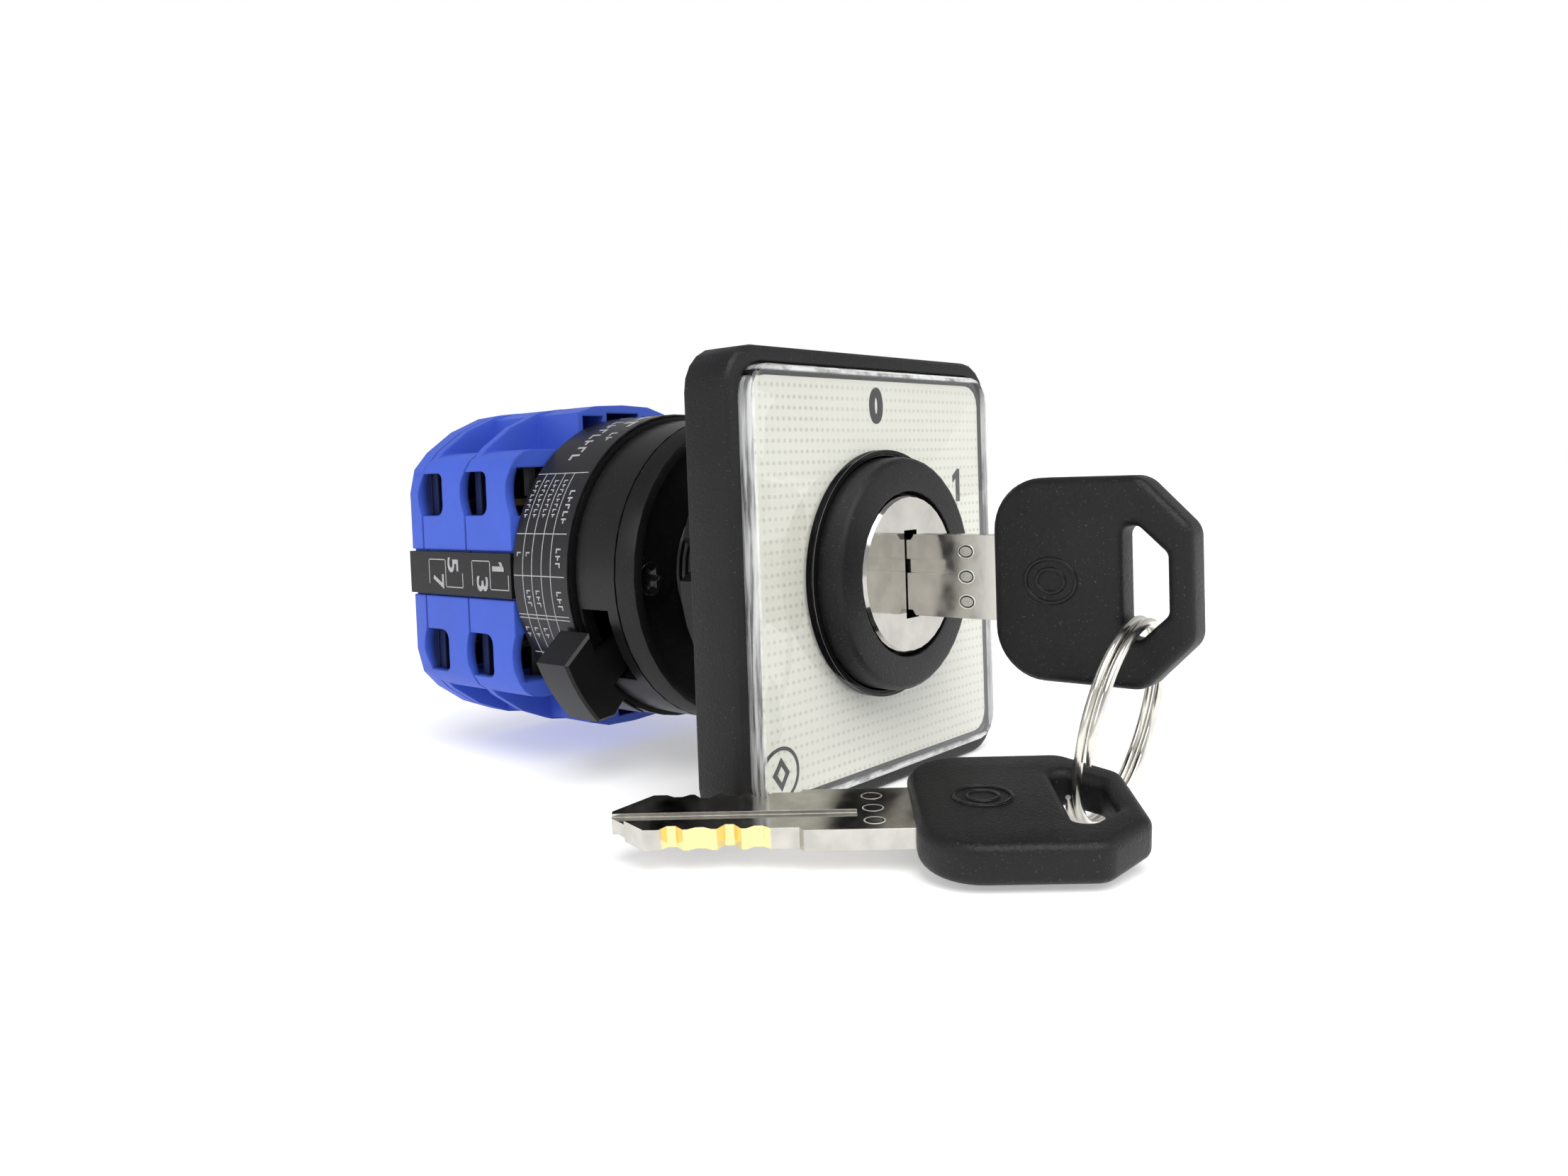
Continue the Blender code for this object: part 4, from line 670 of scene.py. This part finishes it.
def build_key(key, matrix):
    """The moulded bow with its emblems, and the struck zeros on both sides of the blade, each a painted
    highlight ring round a painted shadow ring.
    """
    flat = matrix @ axes_matrix((0, 0, 0), (0, 1, 0), (0, 0, 1))
    bow = curve_solid(bow_outlines(), BOW_HALF_THICKNESS, BOW_ROUND, flat, 4)
    grip = new_piece(key + "_grip", bow, BLACK_GRAIN, key, 50)
    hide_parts(key + "_bow")
    large = ovals(EMBLEM_HALF_WIDTH, EMBLEM_HALF_LENGTH, (0, EMBLEM_LINE), 48)
    small = ovals(EMBLEM_HALF_WIDTH * EMBLEM_INNER, EMBLEM_HALF_LENGTH * EMBLEM_INNER, (0, EMBLEM_LINE), 32)
    zero = ovals(STAMP_HALF_WIDTH, STAMP_HEIGHT / 2, STAMP_INSETS, 28)
    rings, stamp_highlights, shadows = [], [], []
    for side in (-1, 1):
        plane = key_face(matrix, side, -EMBLEM_CENTRE, lift=BOW_HALF_THICKNESS)
        rings.append(curve_solid(large, 0.16, 0.12, plane, 2))
        rings.append(curve_solid(small, 0.13, 0.10, plane, 2))
        for k in (-1, 0, 1):
            plane = key_face(matrix, side, STAMP_PLACE, k * STAMP_PITCH, BLADE_HALF_THICKNESS)
            # each struck zero: a pale ring as a painted highlight, and inside it a black ring as a painted
            # shadow
            stamp_highlights.append(curve_solid(zero[:2], 0.012, 0.004, plane, 1))
            shadows.append(curve_solid(zero[1:], 0.008, 0.003, plane, 1))
    new_piece(key + "_emblem", merge(rings), BLACK_GLOSS, key, 50)
    new_piece(key + "_stamp_shadow", merge(shadows), BLACK_INK_AND_SHADOW, key)
    new_piece(key + "_stamp", merge(stamp_highlights), STAMP_HIGHLIGHT_METAL, key)


def build_ring():
    """The double coil of flattened wire, with round edges and drawn-out ends."""
    normal = Vector(RING_NORMAL).normalized()
    across = normal.cross(Vector((0, 0, 1))).normalized()
    up = normal.cross(across)
    count = round(RING_TURNS * RING_STEPS)
    section = [tau * j / WIRE_STEPS for j in range(WIRE_STEPS)]
    loops = []
    for k in range(count + 1):
        angle = tau * RING_TURNS * k / count + radians(RING_START_ANGLE)
        outward = across * cos(angle) + up * sin(angle)
        coil = normal * (RING_PITCH * RING_TURNS * (k / count - 0.5))
        centre = Vector(RING_CENTRE) + outward * RING_RADIUS + coil
        size = min(1.0, RING_END_SIZE + (1 - RING_END_SIZE) * min(k, count - k) / RING_END_STEPS)
        loops.append([centre + outward * WIRE_RADIAL * size * cos(a) + normal * WIRE_AXIAL * size * sin(a)
                      for a in section])
    ring = new_piece("ring_wire", skin(loops), RING_METAL, "ring", 60)
    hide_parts("split_ring")


# === Printed marks ===========================================================================
def build_legend_print():
    """The digits 0 and 1 and a plain mark, a ring round a diamond, just in front of the legend."""
    plane_y = LEGEND_FRONT - INK_DEPTH
    digits = []
    for text, turn, width in (("0", 0, DIGIT_WIDTH), ("1", ONE_TURN, DIGIT_WIDTH * ONE_NARROWING)):
        centre = (DIGIT_RADIUS * sin(radians(turn)), plane_y, DIGIT_RADIUS * cos(radians(turn)))
        plane = axes_matrix(centre, (1, 0, 0), (0, 0, 1))
        digits.append(text_solid(text, width, DIGIT_HEIGHT, plane, DIGIT_BOLD))
    new_piece("legend_digits", merge(digits), BLACK_INK_AND_SHADOW, "housing")
    plane = axes_matrix((MARK_CENTRE[0], plane_y, MARK_CENTRE[1]), (1, 0, 0), (0, 0, 1))
    ring = ovals(MARK_RADIUS, MARK_RADIUS, (0, MARK_LINE), 48)
    hole = [(x * MARK_DIAMOND_HOLE, y * MARK_DIAMOND_HOLE) for x, y in MARK_DIAMOND]
    parts = [curve_solid(outlines, INK_DEPTH / 2, INK_ROUND, plane, 1)
             for outlines in (ring, [MARK_DIAMOND, hole])]
    new_piece("legend_mark", merge(parts), BLACK_INK_AND_SHADOW, "housing")


def build_hole_lining():
    """The black rim that shows between the clear cover's hole and the lock's collar."""
    profile = ((LINING_INNER, LINING_FRONT), (LINING_OUTER, LINING_FRONT),
               (LINING_OUTER, LINING_BACK), (LINING_INNER, LINING_BACK))
    loops = []
    for k in range(LINING_STEPS):
        angle = tau * k / LINING_STEPS
        loops.append([Vector((radius * cos(angle), y, radius * sin(angle))) for radius, y in profile])
    new_piece("cover_hole_lining", skin(loops, closed_ring=True), BLACK_SATIN, "housing")


def label_patch(start, end, y_low, y_high):
    """A printed patch on the curved label, angles in degrees from +X towards +Z."""
    steps = max(1, round(abs(end - start) / 2))
    inner, outer = LABEL_RADIUS - LABEL_SINK, LABEL_RADIUS + LABEL_RISE
    loops = []
    for k in range(steps + 1):
        angle = radians(start + (end - start) * k / steps)
        loops.append([Vector((r * cos(angle), y, r * sin(angle)))
                      for r, y in ((inner, y_low), (outer, y_low), (outer, y_high), (inner, y_high))])
    return skin(loops)


def dashes(start, count, y, height, pitch, length):
    """A row of stems, each with an arm at one of three levels, where the label has a word."""
    parts = []
    half_line = STROKE_HALF_LINE * height
    for k in range(count):
        near = start + k * pitch
        bend = near + STROKE_STEM * length
        level = y + height * STROKE_LEVELS[k % 3]
        parts.append(label_patch(near, bend, y - height / 2, y + height / 2))
        parts.append(label_patch(bend, near + length, level - half_line, level + half_line))
    return parts


def build_label_print():
    """The label's ruled lines and its rows of strokes, which spell nothing."""
    parts = []
    half = LABEL_HALF_LINE / LABEL_RADIUS * 180 / pi
    for turn in LABEL_SEPARATORS:
        parts.append(label_patch(turn - half, turn + half, LABEL_FRONT + LABEL_MARGIN, LABEL_BACK))
    for y in LABEL_LINES:
        parts.append(label_patch(LABEL_SEPARATORS[0], LABEL_LINES_END,
                                 y - LABEL_HALF_LINE, y + LABEL_HALF_LINE))
    parts.append(label_patch(*LABEL_TICK))
    for word in LABEL_WORDS:
        parts += dashes(*word)
    new_piece("label_print", merge(parts), WHITE_INK, "housing")


def build_strip_print(name, side, numbers):
    """Terminal numbers turned a quarter, each pair with the bracket of its contact."""
    parts = []

    def plane(y, z):
        return axes_matrix((side * (STRIP_FACE + STRIP_LIFT), y, z), (0, 0, side), (0, -1, 0))

    def bar(y_low, y_high, z_low, z_high):
        middle = ((y_low + y_high) / 2, (z_low + z_high) / 2)
        half_y, half_z = (y_high - y_low) / 2, (z_high - z_low) / 2
        return flat_bar((-half_z, half_z), (-half_y, half_y), plane(*middle))

    half_line = STRIP_LINE / 2
    top, bottom = BRACKET_HALF_HEIGHT, -BRACKET_HALF_HEIGHT
    for front, pair in zip(STAGE_FRONTS, numbers):
        for text, (y, z) in zip(pair, STRIP_DIGITS_AT):
            width = STRIP_DIGIT_WIDTH * ONE_NARROWING if text == "1" else STRIP_DIGIT_WIDTH
            parts.append(text_solid(text, width, STRIP_DIGIT_HEIGHT, plane(front + y, z), STRIP_BOLD))
        start, step, end = front + BRACKET_START, front + BRACKET_STEP, front + BRACKET_END
        corners = [(start, bottom), (step, bottom), (step, top), (end, top), (end, BRACKET_END_FOOT)]
        for (y1, z1), (y2, z2) in zip(corners, corners[1:]):
            parts.append(bar(min(y1, y2) - half_line, max(y1, y2) + half_line,
                             min(z1, z2) - half_line, max(z1, z2) + half_line))
        parts.append(bar(start - half_line, start + half_line, bottom, BRACKET_START_TOP))
    new_piece(name, merge(parts), WHITE_INK, "housing")


# === Studio ==================================================================================
def build_floor():
    """A pale floor that glows a little, so that it stays near white."""
    mesh = bpy.data.meshes.new("floor")
    size = FLOOR_HALF_SIZE
    corners = [(-size, -size), (size, -size), (size, size), (-size, size)]
    mesh.from_pydata([(x, y, FLOOR_HEIGHT * MM) for x, y in corners], [], [(0, 1, 2, 3)])
    look = Look("pale_floor", (0.90, 0.90, 0.90), 0.85)
    look.set("Specular IOR Level", 0.1)
    look.colour(look.mix(look.noise(120.0, 2.0), (0.89, 0.89, 0.89, 1), (0.91, 0.91, 0.91, 1)))
    look.set("Emission Color", (1.0, 1.0, 1.0, 1.0))
    look.set("Emission Strength", FLOOR_GLOW)
    mesh.materials.append(look.material)
    floor = bpy.data.objects.new("floor", mesh)
    bpy.context.scene.collection.objects.link(floor)


def area_light(name, place, target, size, power):
    """A rectangular light, in metres and watts, that faces a target."""
    light = bpy.data.lights.new(name, "AREA")
    light.shape = "RECTANGLE"
    light.size, light.size_y = size
    light.energy = power
    obj = bpy.data.objects.new(name, light)
    obj.location = place
    obj.rotation_mode = "QUATERNION"
    obj.rotation_quaternion = (Vector(target) - Vector(place)).to_track_quat("-Z", "Y")
    bpy.context.scene.collection.objects.link(obj)


def sun_light(name, direction, spread, strength):
    """Light from one direction, softened by its spread in degrees."""
    light = bpy.data.lights.new(name, "SUN")
    light.angle = radians(spread)
    light.energy = strength
    obj = bpy.data.objects.new(name, light)
    obj.rotation_mode = "QUATERNION"
    obj.rotation_quaternion = Vector(direction).to_track_quat("-Z", "Y")
    bpy.context.scene.collection.objects.link(obj)


def build_world():
    """White surroundings that darken overhead; the camera itself sees plain white."""
    world = bpy.data.worlds.new("studio")
    bpy.context.scene.world = world
    world.use_nodes = True
    nodes, links = world.node_tree.nodes, world.node_tree.links
    background = nodes["Background"]
    direction = nodes.new("ShaderNodeTexCoord").outputs["Generated"]
    split = nodes.new("ShaderNodeSeparateXYZ")
    links.new(direction, split.inputs[0])
    ramp = nodes.new("ShaderNodeValToRGB")
    ramp.color_ramp.elements[0].position = 0.0
    ramp.color_ramp.elements[0].color = (0.80, 0.80, 0.80, 1)
    ramp.color_ramp.elements[1].position = 0.75
    ramp.color_ramp.elements[1].color = (0.30, 0.30, 0.31, 1)
    links.new(split.outputs["Z"], ramp.inputs["Fac"])
    seen = nodes.new("ShaderNodeLightPath").outputs["Is Camera Ray"]
    pick = nodes.new("ShaderNodeMix")
    pick.data_type = "RGBA"
    links.new(seen, pick.inputs["Factor"])
    links.new(ramp.outputs["Color"], pick.inputs[6])
    pick.inputs[7].default_value = (1, 1, 1, 1)
    links.new(pick.outputs[2], background.inputs["Color"])
    background.inputs["Strength"].default_value = 1.0


def build_camera():
    """The camera; its rotation's rows are right, down and forward in the part's frame."""
    turn_vector = Vector(CAMERA_TURN)
    turn = Matrix.Rotation(turn_vector.length, 3, turn_vector.normalized())
    right, down, forward = turn[0], turn[1], turn[2]
    camera = bpy.data.cameras.new("camera")
    camera.lens = CAMERA_LENS
    camera.sensor_width = CAMERA_SENSOR
    camera.shift_x, camera.shift_y = CAMERA_SHIFT
    camera.clip_start, camera.clip_end = CAMERA_CLIP
    obj = bpy.data.objects.new("camera", camera)
    matrix = Matrix((right, -down, -forward)).transposed().to_4x4()
    matrix.translation = -(turn.transposed() @ Vector(CAMERA_OFFSET)) * MM
    obj.matrix_world = matrix
    bpy.context.scene.collection.objects.link(obj)
    bpy.context.scene.camera = obj


# === Build ===================================================================================
dress_nodes()
for key_name, key_matrix in KEYS.items():
    build_key(key_name, key_matrix)
build_ring()
build_legend_print()
build_hole_lining()
build_label_print()
build_strip_print("strip_print_left", -1, (("1", "3"), ("5", "7")))
build_strip_print("strip_print_right", 1, (("2", "4"), ("6", "8")))
build_floor()
build_world()
sun_light("high_sun", (0.35, 0.55, -1.0), 50, 2.3)
area_light("side_light", (-0.45, 0.05, 0.22), (0, 0.02, 0), (0.25, 0.25), 0.35)
area_light("front_light", (0.20, -0.50, 0.16), (0, 0, 0), (0.25, 0.30), 0.30)
build_camera()
bpy.context.scene.view_settings.view_transform = "Standard"
